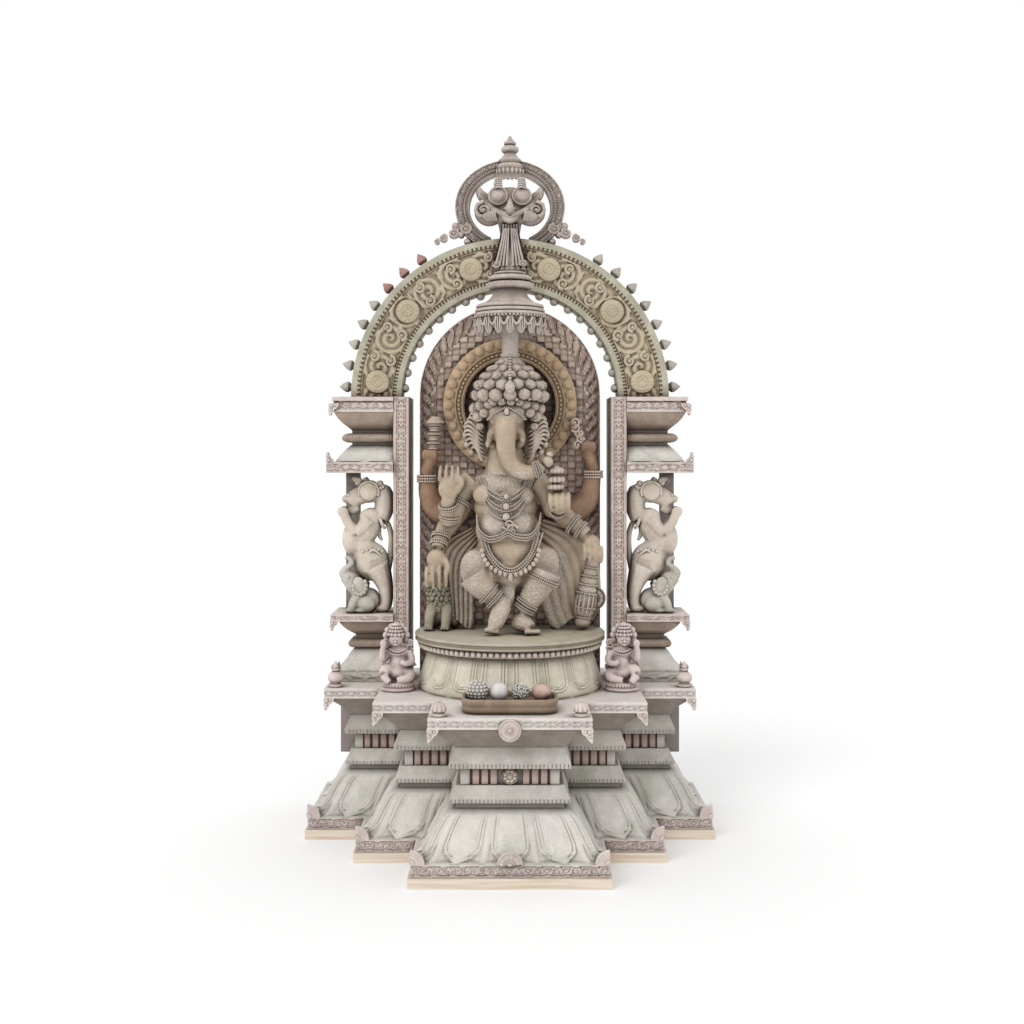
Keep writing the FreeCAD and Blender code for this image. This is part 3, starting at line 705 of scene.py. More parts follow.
def build_dados():
    """Dentil mouldings above and below a niche of small pilasters."""
    for order, tier in enumerate(TIERS):
        lows, highs = span(tier + "_plank")
        half, front = highs[0], lows[1]
        wall_low, wall_high = span(tier + "_dado")
        lift = wall_low[2] - 249.0
        back = wall_high[1] + (0 if order == 2 else 40.0)

        def relief(along, z, end, reach):
            z = z - lift
            lower = (z > 269.0) & (z < 285.0)
            upper = (z > 396.0) & (z < 416.0)
            teeth = 4.0 * dentils(along, 15.0) - 2.0
            return np.where(lower | upper, teeth, 0.0)

        points = [(249, 166, 2), (268, 166, 1), (268.5, 152, 1), (270, 146, 4), (285, 146, 1), (288, 147, 4),
                  (320, 163, 1), (326, 164, 1), (331, 167, 1), (331.5, 188, 4), (396, 188, 1),
                  (396.5, 152, 1), (398, 144, 5), (417, 143, 1), (421, 145, 5), (462, 163, 1),
                  (470, 165, 1), (477, 167, 1)]
        bm = bmesh.new()
        wrapped_course(bm, half, front, back, [(z + lift, *rest) for z, *rest in points], relief, pitch=5.0)
        before = set(bm.faces)
        wall = front + 188.0
        reach = half - 188.0
        if order == 0:
            spots = [60 + 33.5 * i for i in range(4)]
            rosette(bm, (0.0, wall - 12.0, 363.5 + lift), 31.0, 16.0, flower, petals=8, rings=10, around=32)
            paint(bm, before, 2)
            before = set(bm.faces)
        else:
            spots = [reach - 46 - 34 * i for i in range(5)]
        for spot in spots:
            for sign in (-1, 1):
                slab(bm, (sign * spot - 12.5, wall - 14, 332 + lift),
                     (sign * spot + 12.5, wall + 4, 396.4 + lift), bevel=3.0)
        for depth in range(3):
            y = front + 188.0 + 44.0 + 60.0 * depth
            if y > back - 20:
                break
            for sign in (-1, 1):
                slab(bm, (sign * reach - 8, y - 13, 332 + lift), (sign * reach + 8, y + 13, 396.4 + lift),
                     bevel=3.0)
        paint(bm, before, 1)
        before = set(bm.faces)
        for sign in (-1, 1):
            slab(bm, (sign * (reach - 12) - 16, wall - 16, 331 + lift),
                 (sign * (reach - 12) + 16, wall + 6, 396.6 + lift), bevel=2.0)
        piece(bm, tier + "_niche_course", [finish("moulding"), finish("red"), finish("cloth")], "root",
              [tier + "_dado"])


def build_cornices():
    """The curved underside below each deck."""
    for order, tier in enumerate(TIERS):
        lows, highs = span(tier + "_plank")
        half, front = highs[0], lows[1]
        low_z, high_z = span(tier + "_cornice")[0][2], span(tier + "_cornice")[1][2]
        back = span(tier + "_cornice")[1][1] + (0 if order == 2 else 20.0)
        points = []
        for step in range(11):
            share = step / 10
            points.append((low_z + (high_z - low_z) * share, 158 - 80 * share ** 1.5, 1))

        def relief(along, z, end, reach):
            ds, _ = cell(along, 60.0)
            return 2.5 * np.sqrt(np.clip(1 - (ds / 30.0) ** 2, 0, 1)) * (z < high_z - 8)

        bm = bmesh.new()
        wrapped_course(bm, half, front, back, points, relief, pitch=7.0)
        # The cornice's dark stone is painted shade for the shadow below the deck.
        piece(bm, tier + "_curved_cornice", [finish("cornice")], "root", [tier + "_cornice"])


def build_decks():
    """Each stage's deck slab with its diamond band and corner ears."""
    for order, tier in enumerate(TIERS):
        lows, highs = span(tier + "_deck_slab")
        half, front = highs[0], lows[1]
        top = highs[2]
        deck = top - DECK_THICK
        back = highs[1] + (0 if order == 2 else 2.0)

        def relief(along, z, end, reach):
            t = z - deck - 18.0
            band = 4.0 * lozenge_band(np.where(end, along - 22.0, along), t, 45.0, 27.0)
            return np.where(np.abs(t) < 15.5, band - 4.0, 0.0)

        points = [(deck, 12, 1), (deck + 0.5, 1, 12), (deck + 36, 1, 2), (deck + 40, 2, 1), (top, 5, 1)]
        bm = bmesh.new()
        wrapped_course(bm, half, front, back, points, relief, pitch=4.5)
        for face in bm.faces:
            if face.normal.z > 0.9 or face.calc_center_median().z > (top - 0.6) * MM:
                face.material_index = 1
        corner_ears(bm, half - 1, front + 1, deck + 1)
        left = bmesh.new()
        corner_ears(left, half - 1, front + 1, deck + 1)
        bmesh.ops.scale(left, vec=(-1, 1, 1), verts=left.verts[:])
        joined(bm, left)
        if order == 0:
            rosette(bm, (0.0, front - 6.0, deck - 2.0), 41.0, 5.0, flower, petals=9, rings=12, around=40,
                    bottom=-12.0)
        nodes = [tier + "_deck_slab"] + (["front_medallions"] if order == 0 else [])
        piece(bm, tier + "_deck", [finish("frieze"), finish("deck")], "root", nodes)


def build_rear_backing():
    """A wall of three raised panels behind the stepped base."""
    lows, highs = span("rear_backing_slab")
    sunk = 5.0
    bm = bmesh.new()
    slab(bm, lows, (highs[0], highs[1] - sunk, highs[2]), bevel=3.0)
    width = (highs[0] - lows[0]) / 3
    for number in range(3):
        x = lows[0] + width * number
        slab(bm, (x + 14, highs[1] - 2 * sunk, lows[2] + 14), (x + width - 14, highs[1], highs[2] - 14),
             bevel=2.0)
    piece(bm, "backing_wall", [finish("plain_back")], "root", ["rear_backing_slab"])


def build_deck_finials():
    """Lotus buds and small pots that stand on the decks."""
    bm = bmesh.new()
    lows, highs = span("lotus_bud_finials")
    x, y, z = highs[0] - 29, (lows[1] + highs[1]) / 2, lows[2]
    turned(bm, [(0, 0), (28, 0), (29, 4), (26, 9), (20, 13), (19, 16)], (x, y, z), count=28)
    turned(bm, [(0, 14), (20, 14), (27, 20), (28, 30), (22, 42), (12, 49), (6, 53), (0, 55)], (x, y, z),
           count=72, lobes=9, depth=0.16)
    ellipsoid(bm, (x, y, z + 55), (7, 7, 7), detail=2)
    mirror_copy(bm)
    piece(bm, "lotus_buds", [finish("frieze")], "root", ["lotus_bud_finials"])
    bm = bmesh.new()
    lows, highs = span("kalasha_finials")
    x, y, z = highs[0] - 33, (lows[1] + highs[1]) / 2, lows[2]
    turned(bm, [(0, 0), (30, 0), (32, 5), (28, 10), (20, 14), (20, 18), (30, 26), (33, 38), (29, 50),
                (18, 60), (12, 64), (17, 68), (17, 72), (11, 76), (13, 82), (9, 92), (4, 103),
                (0, 107)], (x, y, z),
                count=32)
    plate(bm, [(-17, 60), (17, 60), (20, 80), (12, 92), (4, 86), (-4, 86), (-12, 104), (-19, 84)],
          (x, y + 12, z), (1, 0, 0), (0, 0, 1), (0, 10, 0))
    mirror_copy(bm)
    piece(bm, "kalashas", [finish("frieze")], "root", ["kalasha_finials"])


# ---------------------------------------------------------------- pillars

def turn_course(bm, outer, inner, front, back, points, relief, pitch=5.0):
    """A course whose profile runs round a pillar's front, outer side and back."""
    wrapped_course(bm, (back - front) / 2, -outer, -inner, points, relief, pitch=pitch)
    bmesh.ops.rotate(bm, cent=(0, 0, 0), matrix=Matrix.Rotation(math.pi / 2, 3, "Z"), verts=bm.verts[:])
    bmesh.ops.translate(bm, vec=(0, (front + back) / 2 * MM, 0), verts=bm.verts[:])


def pillar_petals(from_corner, z, foot, top):
    """Slim petals on the slopes of a pillar's pedestal and capital."""
    ds, _ = cell(from_corner - 62.0, 118.0)
    side = np.abs(ds)
    rise = (z - foot) / (top - foot)
    bend = foot + 0.4 * (top - foot)
    edge = np.hypot(side, np.where(z < bend, bend - z, 0)) - 42.0
    lines = 2.6 * ridge(edge, 4.0) + 2.2 * ridge(edge + 11.0, 3.6)
    return (4.0 * np.sqrt(np.clip(1 - (side / 50.0) ** 2, 0, 1)) + lines) * np.clip((1 - rise) * 6, 0, 1)


PEDESTAL = ((0, 39, 9), (45, 39, 1), (46, 50, 1), (50, 52, 4), (68, 66, 4), (90, 82, 4), (112, 96, 3),
            (128, 106, 1), (133, 112, 1), (136, 100, 2), (142, 92, 2), (152, 88, 2), (162, 90, 2),
            (170, 97, 1), (174, 112, 1), (190, 115, 2), (198, 104, 2), (212, 84, 2), (230, 66, 2),
            (246, 54, 1), (255, 52, 1))
CAPITAL = ((0, 38, 1), (4, 41, 4), (20, 52, 4), (40, 68, 4), (58, 84, 3), (70, 94, 1), (74, 101, 1),
           (82, 101, 1), (83, 84, 2), (90, 70, 2), (102, 64, 2), (114, 70, 2), (121, 84, 1),
           (123, 101, 1), (134, 101, 2), (146, 88, 2), (164, 66, 2), (184, 48, 2), (200, 38, 1),
           (211, 34, 1))


def build_pillars():
    """Pedestal, capital and carved post of each pillar."""
    widest = span("canopy_slabs")
    outer = widest[1][0] + 2.0
    front, back = widest[0][1] - 2.0, widest[1][1] + 2.0
    post_low, post_high = span("right_pillar_post")
    inner = post_high[0] - 2.0
    for side, sign in SIDES:
        lows = span("right_pillar_pedestal")[0]

        def relief(along, z, end, reach):
            z = z - lows[2]
            frieze = np.where((z > 6) & (z < 42), 4.0 * scroll_band(along, z - 24, 30.0, 28.0) - 3.5, 0.0)
            petals = pillar_petals(np.where(end, along, reach - np.abs(along)), z, 50.0, 128.0)
            rope = 2.5 * dentils(along + z * 0.4, 13.0) * ((z > 138) & (z < 170))
            return np.where(z < 45.5, frieze, np.where(z < 130, petals, rope))

        bm = bmesh.new()
        turn_course(bm, outer, inner, front, back, [(z + lows[2], *rest) for z, *rest in PEDESTAL], relief)
        for face in bm.faces:
            if face.calc_center_median().z > (lows[2] + 134) * MM:
                face.material_index = 1
        flip_side(bm, sign)
        piece(bm, side + "_pedestal", [finish("pale"), finish("capital")], "root",
              [side + "_pillar_pedestal"])

        base = span("right_capital")[0][2]

        def capital_relief(along, z, end, reach):
            z = z - base
            petals = pillar_petals(np.where(end, along, reach - np.abs(along)), z, 4.0, 70.0)
            rope = 3.0 * dentils(along + z * 0.4, 13.0) * ((z > 84) & (z < 122))
            return np.where(z < 72, petals, rope)

        bm = bmesh.new()
        turn_course(bm, outer, inner, front, back, [(z + base, *rest) for z, *rest in CAPITAL],
                    capital_relief)
        for face in bm.faces:
            if (base + 80) * MM < face.calc_center_median().z:
                face.material_index = 1
        flip_side(bm, sign)
        piece(bm, side + "_carved_capital", [finish("pale"), finish("capital")], "root", [side + "_capital"])

        def where(u, v):
            x = post_low[0] + (post_high[0] - post_low[0]) * u
            z = post_low[2] + (post_high[2] - post_low[2]) * v
            middle = (post_low[0] + post_high[0]) / 2
            t = x - middle
            braid = lozenge_band(z - post_low[2] - 24, t, 46.0, 46.0)
            border = ridge(np.abs(t) - 29.0, 4.0)
            small = 0.7 * lozenge_band(z - post_low[2] - 1, t, 46.0, 30.0)
            y = post_low[1] + 6.0 - 6.0 * np.maximum.reduce([braid, border, small])
            return np.stack([x, y, z], 1) * MM

        bm = bmesh.new()
        panel(bm, 18, 280, where, post_high[1] * MM)
        flip_side(bm, sign)
        for face in bm.faces:
            face.normal_update()
            middle = face.calc_center_median()
            # Painted shadow: the post's back and sides get the dark shadow stone.
            if middle.y > (post_low[1] + 12) * MM or abs(face.normal.x) > 0.9:
                face.material_index = 1
        piece(bm, side + "_carved_post", [finish("post"), finish("shadow")], "root", [side + "_pillar_post"])


def build_pillar_slabs():
    """The thin carved slabs between the storeys, and the rear posts."""
    widest = span("canopy_slabs")
    outer = widest[1][0]
    front, back = widest[0][1], widest[1][1]
    inner = span("right_pillar_post")[1][0] - 1.0
    for node, recess, pitch, ears in (("yali_slabs", 16.0, 30.0, -1), ("canopy_slabs", 2.0, 34.0, 1),
                                      ("abacus_slabs", 22.0, 36.0, -1)):
        lows, highs = span(node)
        tall = highs[2] - lows[2]
        middle = (lows[2] + highs[2]) / 2 - (4.0 if node == "abacus_slabs" else 0.0)
        height = (tall - 12.0) if node != "abacus_slabs" else 36.0

        def relief(along, z, end, reach):
            t = z - middle
            return np.where(np.abs(t) < height / 2, 4.5 * scroll_band(along, t, pitch, height) - 4.0, 0.0)

        points = [(lows[2], recess + 8, 1), (lows[2] + 0.5, recess, int(tall / 4)), (highs[2] - 2, recess, 1),
                  (highs[2], recess + 3, 1)]
        if node == "abacus_slabs":
            points = [(lows[2], recess + 10, 1), (lows[2] + 0.5, recess + 6, 11),
                      (lows[2] + 46, recess + 6, 1),
                      (lows[2] + 47, recess, 4), (highs[2] - 2, recess, 1), (highs[2], recess + 3, 1)]
        bm = bmesh.new()
        turn_course(bm, outer, inner, front, back, points, relief, pitch=4.5)
        x, y = outer - recess, front + recess
        if ears > 0:
            corner_ears(bm, x, y, highs[2] - 1, outline=HORN, size=0.9)
        elif node == "abacus_slabs":
            corner_ears(bm, x + 12, y - 4, lows[2] + 36, size=1.0)
        else:
            corner_ears(bm, x, y, lows[2] + 1, size=0.8)
        mirror_copy(bm)
        piece(bm, node.replace("slabs", "ledges"), [finish("frieze")], "root", [node])
    lows, highs = span("niche_posts")
    bm = bmesh.new()
    width = 60.0
    slab(bm, (highs[0] - width, lows[1], lows[2]), highs, bevel=3.0)
    for step in range(9):
        z = lows[2] + 30 + step * (highs[2] - lows[2] - 60) / 8.0
        ellipsoid(bm, (highs[0] - width / 2, lows[1] + 2, z), (18, 6, 22), detail=2)
    mirror_copy(bm)
    piece(bm, "rear_niche_posts", [finish("plain_back")], "root", ["niche_posts"])


# ---------------------------------------------------------------- beasts

def clay(bm, voxel):
    """Fuse the overlapping shapes of bm into one skin, as if modelled in clay."""
    data = bpy.data.meshes.new("clay")
    bm.to_mesh(data)
    lump = bpy.data.objects.new("clay", data)
    bpy.context.scene.collection.objects.link(lump)
    fuse = lump.modifiers.new("fuse", "REMESH")
    fuse.mode = "VOXEL"
    fuse.voxel_size = voxel * MM
    soft = lump.modifiers.new("soften", "SMOOTH")
    soft.factor = 0.5
    soft.iterations = 2
    made = bpy.data.meshes.new_from_object(lump.evaluated_get(bpy.context.evaluated_depsgraph_get()))
    bm.clear()
    bm.from_mesh(made)
    bpy.data.objects.remove(lump)
    bpy.data.meshes.remove(data)
    bpy.data.meshes.remove(made)


def build_yalis():
    """Rearing beasts with round eyes, striped necks and tails that loop behind them."""
    lows, highs = span("right_yali")
    base = lows[2]
    for side, sign in SIDES:
        bm = bmesh.new()
        y0 = 318.0

        def at(x, y, z):
            return (x, y0 + y, base + z)

        tube(bm, [at(580, 4, 500), at(546, 4, 510), at(538, 4, 450), at(556, 4, 400)], [38, 44, 44, 42])
        tube(bm, [at(566, 4, 400), at(584, 0, 396), at(622, 0, 330), at(648, 0, 320)], [36, 48, 50, 44])
        ellipsoid(bm, at(670, 0, 314), (50, 48, 74))
        tube(bm, [at(640, 0, 300), at(606, 0, 260), at(588, 0, 222)], [46, 52, 66])
        ellipsoid(bm, at(594, 0, 216), (78, 60, 86), turn=(14, "Y"))
        ellipsoid(bm, at(606, 0, 514), (50, 46, 48))
        tube(bm, [at(630, 0, 504), at(664, 0, 486), at(684, 0, 462)], [42, 38, 32])
        tube(bm, [at(650, 0, 452), at(676, 0, 436), at(692, 0, 440)], [24, 22, 15])
        ellipsoid(bm, at(698, 0, 484), (24, 30, 18))
        for depth in (-1, 1):
            y = 30 * depth
            ellipsoid(bm, at(598, y * 0.9, 402), (46, 26, 44))
            tube(bm, [at(602, y, 396), at(636, y - 6, 352), at(656, y - 8, 338)], [36, 28, 24])
            tube(bm, [at(656, y - 8, 340), at(690, y - 12, 384), at(706, y - 14, 418)], [24, 21, 20])
            ellipsoid(bm, at(712, y - 14, 432), (24, 20, 22))
            tube(bm, [at(570, y, 196), at(540, y - 2, 130), at(528, y, 70), at(532, y, 24)], [58, 38, 28, 26])
            ellipsoid(bm, at(544, y - 10, 16), (34, 22, 17))
        clay(bm, 5.0)
        fine = bmesh.new()
        for depth in (-1, 1):
            y = depth * 42
            ellipsoid(fine, at(602, y - 4 * (depth < 0), 516), (38, 16, 38), detail=3)
            tube(fine, [at(602 + 42 * math.cos(a), y * 1.02,
                           516 + 42 * math.sin(a)) for a in np.linspace(-0.4, 3.6, 12)],
                 [6] * 12, around=8, steps=1)
            spiral(fine, at(556, y * 0.9, 548), 20, 7, turns=1.3, start=200)
            spiral(fine, at(650, y * 0.62, 556), 17, 8, turns=1.3, start=20)
            ellipsoid(fine, at(690, y * 0.5, 500), (9, 8, 8), detail=2)
            tube(fine, [at(612, y * 1.04, 244), at(580, y * 1.36, 268), at(544, y * 1.1, 238)], [4, 6, 3],
                 around=6, steps=4)
            for step in range(6):
                ellipsoid(fine, at(624 - 16 * step, y * 1.24, 262 + 10 * math.sin(step * 0.6)), (6, 5, 6),
                          detail=1)
            for toe in range(3):
                ellipsoid(fine, at(714 + 4 * toe, depth * 30 - 24 + 6 * toe, 446 - 14 * toe), (9, 8, 7),
                          detail=2)
        for depth in (-1, 0, 1):
            tube(fine, [at(640, depth * 16, 548), at(656, depth * 18, 572), at(672, depth * 18, 566)],
                 [15, 13, 9],
                 around=10, steps=3)
            tube(fine, [at(612, depth * 16, 556), at(622, depth * 18, 574)], [14, 10], around=10, steps=3)
        for row in range(2):
            for step in range(13):
                angle = math.pi * step / 12
                ellipsoid(fine, at(548 + 30 * row + 10 * math.cos(angle),
                                   -48 * math.sin(angle) + 4, 386 + 14 * row + 26 * math.cos(angle)),
                                   (8, 8, 8), detail=1)
        tube(fine, [at(528, 4, 150), at(512, 6, 240), at(510, 6, 330), at(530, 6, 384), at(558, 6, 368),
                    at(560, 4, 330),
                    at(548, 2, 306)], [13, 13, 12, 11, 10, 9, 6], around=12, steps=5)
        joined(bm, fine)
        fit_inside(bm, lows, highs)
        flip_side(bm, sign)
        piece(bm, side + "_rearing_beast", [finish("cloth")], "root", [side + "_yali"])


def build_elephants():
    """A seated elephant below each rearing beast."""
    lows, highs = span("elephants")
    base = lows[2]
    y0 = 295.0
    bm = bmesh.new()

    def at(x, y, z):
        return (x, y0 + y, base + z)

    ellipsoid(bm, at(606, 10, 56), (54, 46, 58))
    ellipsoid(bm, at(640, 0, 70), (40, 42, 50))
    tube(bm, [at(636, 0, 92), at(664, -4, 124), at(682, -6, 146)], [42, 40, 38])
    ellipsoid(bm, at(686, -6, 154), (38, 38, 38))
    tube(bm, [at(704, -8, 160), at(716, -10, 184), at(696, -10, 208), at(678, -10, 226), at(686, -10, 246),
              at(708, -10, 254)], [22, 19, 15, 13, 12, 11])
    for depth in (-1, 1):
        tube(bm, [at(650, 26 * depth, 80), at(668, 26 * depth - 4, 48), at(676, 26 * depth - 6, 18)],
             [24, 21, 20])
        ellipsoid(bm, at(680, 26 * depth - 8, 12), (24, 18, 13))
        ellipsoid(bm, at(612, 32 * depth, 40), (40, 22, 42))
        ellipsoid(bm, at(634, 28 * depth - 6, 12), (28, 18, 13))
    clay(bm, 4.5)
    fine = bmesh.new()
    for depth in (-1, 1):
        y = -6 + 36 * depth
        ellipsoid(fine, at(642, y, 128), (28, 9, 40), turn=(16, "Y"), detail=3)
        for step in range(9):
            angle = math.radians(150 + 26 * step)
            ellipsoid(fine, at(640 + 28 * math.cos(angle), y + 3 * depth, 126 + 38 * math.sin(angle)),
                      (10, 7, 11), detail=2)
        ellipsoid(fine, at(690, y, 166), (7, 6, 7), detail=2)
        tube(fine, [at(706, y * 0.5, 150), at(722, y * 0.5, 146)], [7, 4], around=8, steps=2)
    joined(bm, fine)
    fit_inside(bm, lows, highs)
    mirror_copy(bm)
    piece(bm, "crouching_elephants", [finish("yali_green")], "root", ["elephants"])


# ---------------------------------------------------------------- arch and crest

def arch_spot(radius, degrees, y, centre_z):
    """The point at a radius and an angle on the arch."""
    angle = math.radians(degrees)
    return (radius * math.cos(angle), y, centre_z + radius * math.sin(angle))


ARCH_WIDTH = 219.0


def build_arch():
    """The arch in two halves, its flowers, outer flames and inner knobs."""
    lows, highs = span("right_arch_half")
    centre, front, back = lows[2], lows[1], highs[1]
    outer = highs[0]
    inner = max(outer - ARCH_WIDTH, lows[0])
    around, across = 300, 44
    for side, sign in SIDES:
        def where(u, v):
            angle = np.radians(v * 90.0)
            share = np.clip(u, 0, 1)
            radius = inner + (outer - inner) * share
            t = radius - (inner + outer) / 2
            run = np.radians(v * 90.0) * 560.0
            rim = np.maximum(ridge(t - 100, 3.5), ridge(t + 100, 3.5)) * 0.6
            rim = np.maximum(rim, ((np.abs(t) > 84) & (np.abs(t) < 108)) * 0.9)
            bead_s, _ = cell(run, 17.0)
            bead = np.sqrt(np.clip(1 - (bead_s ** 2 + (np.abs(t) - 76) ** 2) / 49.0, 0, 1))
            fillet = 0.7 * ridge(np.abs(t) - 65.0, 3.0)
            field = 0.85 * scroll_band(run, t, 128.0, 124.0) * (np.abs(t) < 62)
            high_of = np.maximum.reduce([rim, bead, fillet, field])
            y = front + 9.0 - 9.0 * np.clip(high_of, 0, 1)
            x = np.maximum(radius * np.cos(angle), 0.0)
            z = centre + radius * np.sin(angle)
            return np.stack([x, y, z], 1) * MM

        bm = bmesh.new()
        panel(bm, across, around, where, back * MM)
        for face in bm.faces:
            middle = face.calc_center_median()
            reach = math.hypot(middle.x, middle.z - centre * MM) / MM - (inner + outer) / 2
            face.material_index = 1 if abs(reach) < 82 else 0
        flip_side(bm, sign)
        piece(bm, side + "_arch", [finish("rim"), finish("khaki")], "root", [side + "_arch_half"])

    bm = bmesh.new()
    for degrees in (6.5, 40.0, 73.0):
        spot = arch_spot(565.0, degrees, front + 2, centre)
        rosette(bm, spot, 52.0, 1.0, dome_flower, rings=14, around=44, bottom=-4.0)
        for turn in (-1, 1):
            for radius, size in ((530.0, 24.0), (600.0, 22.0)):
                curl = arch_spot(radius, degrees + turn * (16.5 if degrees < 70 else 13.0) * 0.62,
                                 front + 2, centre)
                if curl[0] > 30 and curl[2] > centre + 24:
                    spiral(bm, curl, size, 8, turns=1.5, start=90 * turn, way=turn)
    mirror_copy(bm)
    piece(bm, "arch_flowers", [finish("khaki")], "root", ["arch_medallions"])

    bm = bmesh.new()
    for step in range(8):
        degrees = 3.8 + 7.64 * step
        angle = math.radians(degrees)
        before_verts = set(bm.verts)
        outline = [(0, -6), (20, -4), (21, 2), (16, 7), (17, 10), (23, 18), (22, 28), (15, 40), (7, 50),
                   (3, 55),
                   (0, 58)]
        turned(bm, outline, (0, 0, 0), count=24, lobes=6, depth=0.1)
        made = [v for v in bm.verts if v not in before_verts]
        spot = Vector(arch_spot(outer - 1.0, degrees, (front + back) / 2, centre)) * MM
        bmesh.ops.rotate(bm, cent=(0, 0, 0), matrix=Matrix.Rotation(math.pi / 2 - angle, 3, "Y"), verts=made)
        bmesh.ops.translate(bm, vec=spot, verts=made)
    mirror_copy(bm)
    for face in bm.faces:
        middle = face.calc_center_median()
        degrees = math.degrees(math.atan2(middle.z - centre * MM, middle.x))
        face.material_index = 1 if 116 < degrees < 142 else 0
    piece(bm, "outer_flames", [finish("bud"), finish("red_bud")], "root", ["arch_outer_buds"])

    bm = bmesh.new()
    for step in range(9):
        degrees = 5.0 + 8.6 * step
        spot = arch_spot(inner - 6, degrees, (front + back) / 2 - 20, centre)
        ellipsoid(bm, spot, (19, 26, 19), detail=3)
    mirror_copy(bm)
    piece(bm, "inner_knobs", [finish("bud")], "root", ["arch_inner_buds"])


def dome_flower(share, angle, petals):
    """A low dome cut with rings and notched petals, in mm of height."""
    body = 12.0 * np.sqrt(np.clip(1 - share ** 2 * 0.8, 0, 1))
    rings = 3.0 * ridge(share - 0.88, 0.05) + 3.0 * ridge(share - 0.6, 0.05) + 2.5 * ridge(share - 0.36, 0.04)
    notch = 2.5 * np.abs(np.sin(7 * angle)) * ((share > 0.63) & (share < 0.84))
    notch = notch + 2.5 * np.abs(np.sin(4 * angle)) * ((share > 0.2) & (share < 0.34))
    return (body + rings + notch) * (share < 0.999)


def build_crest():
    """Hoop, finial and long tongue above the arch."""
    lows, highs = span("crest_ring")
    front, back = lows[1], highs[1]
    centre, inner, outer = 2578.0, 172.0, 234.0
    start, stop = -62.0, 242.0

    def where(u, v):
        angle = np.radians(start + (stop - start) * v)
        radius = inner + (outer - inner) * u
        t = radius - (inner + outer) / 2
        run = angle * 203.0
        ds, _ = cell(run, 13.0)
        bead = np.sqrt(np.clip(1 - (ds ** 2 + (t + 8) ** 2) / 30.0, 0, 1))
        rim = np.maximum(ridge(t - 28, 3.0), ridge(t + 28, 3.0))
        fillet = 0.7 * np.maximum(ridge(t, 2.0), ridge(t + 17, 2.0))
        outer_band = 0.7 * scroll_band(run, t - 14, 26.0, 20.0) * ((t > 4) & (t < 25))
        height = np.clip(np.maximum.reduce([bead, rim, fillet, outer_band]), 0, 1)
        y = front + 5.0 - 5.0 * height
        return np.stack([radius * np.cos(angle), y, centre + radius * np.sin(angle)], 1) * MM

    bm = bmesh.new()
    panel(bm, 26, 330, where, back * MM)
    for sign in (-1, 1):
        for x, size, thick, z in ((190, 27, 9, 2469.0), (240, 23, 8, 2448.0), (284, 18, 7, 2425.0),
                                  (312, 12, 5, 2408.0), (218, 14, 5, 2478.0)):
            spiral(bm, (sign * x, front + 4, z), size, thick, turns=1.8, start=90, way=sign)
            tube(bm, [(sign * x, front + 8, z), (sign * x, back - 8, z)], [size * 0.9, size * 0.9],
                 around=20, steps=2)
        for step in range(5):
            angle = math.radians(-22 - 11 * step)
            spot = (sign * 250 * math.cos(angle), front + 20, centre + 250 * math.sin(angle))
            ellipsoid(bm, spot, (17, 26, 20), turn=(sign * 20, "Y"), detail=2)
    fit_inside(bm, lows, highs)
    piece(bm, "crest_hoop", [finish("tongue")], "root", ["crest_ring"])

    lows, highs = span("flame_tongue")
    base, top = lows[2], highs[2]

    def fan(u, v):
        share = 1 - v
        half = 36 + (76 - 36) * share ** 1.4
        t = 2 * u - 1
        ribs = np.abs(np.sin(t * 6.5 * math.pi / 2))
        bulge = 12 * np.exp(-((t / 0.4) ** 2) - ((v - 0.3) / 0.3) ** 2)
        y = lows[1] + 26 - 11 * (ribs * (0.4 + 0.6 * np.abs(t))) - bulge - 6 * share
        return np.stack([t * half, y, base + (top - base) * v], 1) * MM

    bm = bmesh.new()
    panel(bm, 72, 60, fan, highs[1] * MM)
    for sign in (-1, 1):
        spiral(bm, (sign * 56, lows[1] + 6, base + 22), 17, 6, turns=1.4, start=200, way=-sign)
        for step in range(4):
            tube(bm, [(sign * (14 + 15 * step), lows[1] + 8, base + 14),
                      (sign * (10 + 10 * step), lows[1] + 6, base + 92),
                      (sign * (5 + 6 * step), lows[1] + 14, base + 172)], [6, 5, 3], around=8, steps=5)
    piece(bm, "long_tongue", [finish("tongue")], "root", ["flame_tongue"])
    build_lion_face()

    lows, highs = span("crest_finial")
    base = lows[2]
    y0 = (lows[1] + highs[1]) / 2
    bm = bmesh.new()
    turned(bm, [(0, 0), (66, 0), (74, 6), (76, 14), (70, 20), (72, 26), (74, 34), (68, 42), (56, 48),
                (58, 54), (60, 60), (54, 68), (40, 78), (32, 88), (28, 96), (40, 102), (44, 110),
                (42, 118), (32, 124), (24, 128), (30, 134), (30, 142), (20, 148), (12, 158), (6, 168),
                (0, 172)], (0, y0, base), count=56,
           squash=(highs[1] - lows[1]) / 148.0)
    for step in range(22):
        angle = 2 * math.pi * step / 22
        ellipsoid(bm, (74 * math.cos(angle), y0 + 74 * math.sin(angle) * (highs[1] - lows[1]) / 148.0,
                       base + 10), (8, 8, 13), detail=2)
    fit_inside(bm, lows, highs, margin=6.0)
    piece(bm, "crest_bell", [finish("tongue")], "root", ["crest_finial"])


# ---------------------------------------------------------------- back plate and umbrella

HALO_CENTRE = 1769.0
HALO_HOLLOW = 200.0


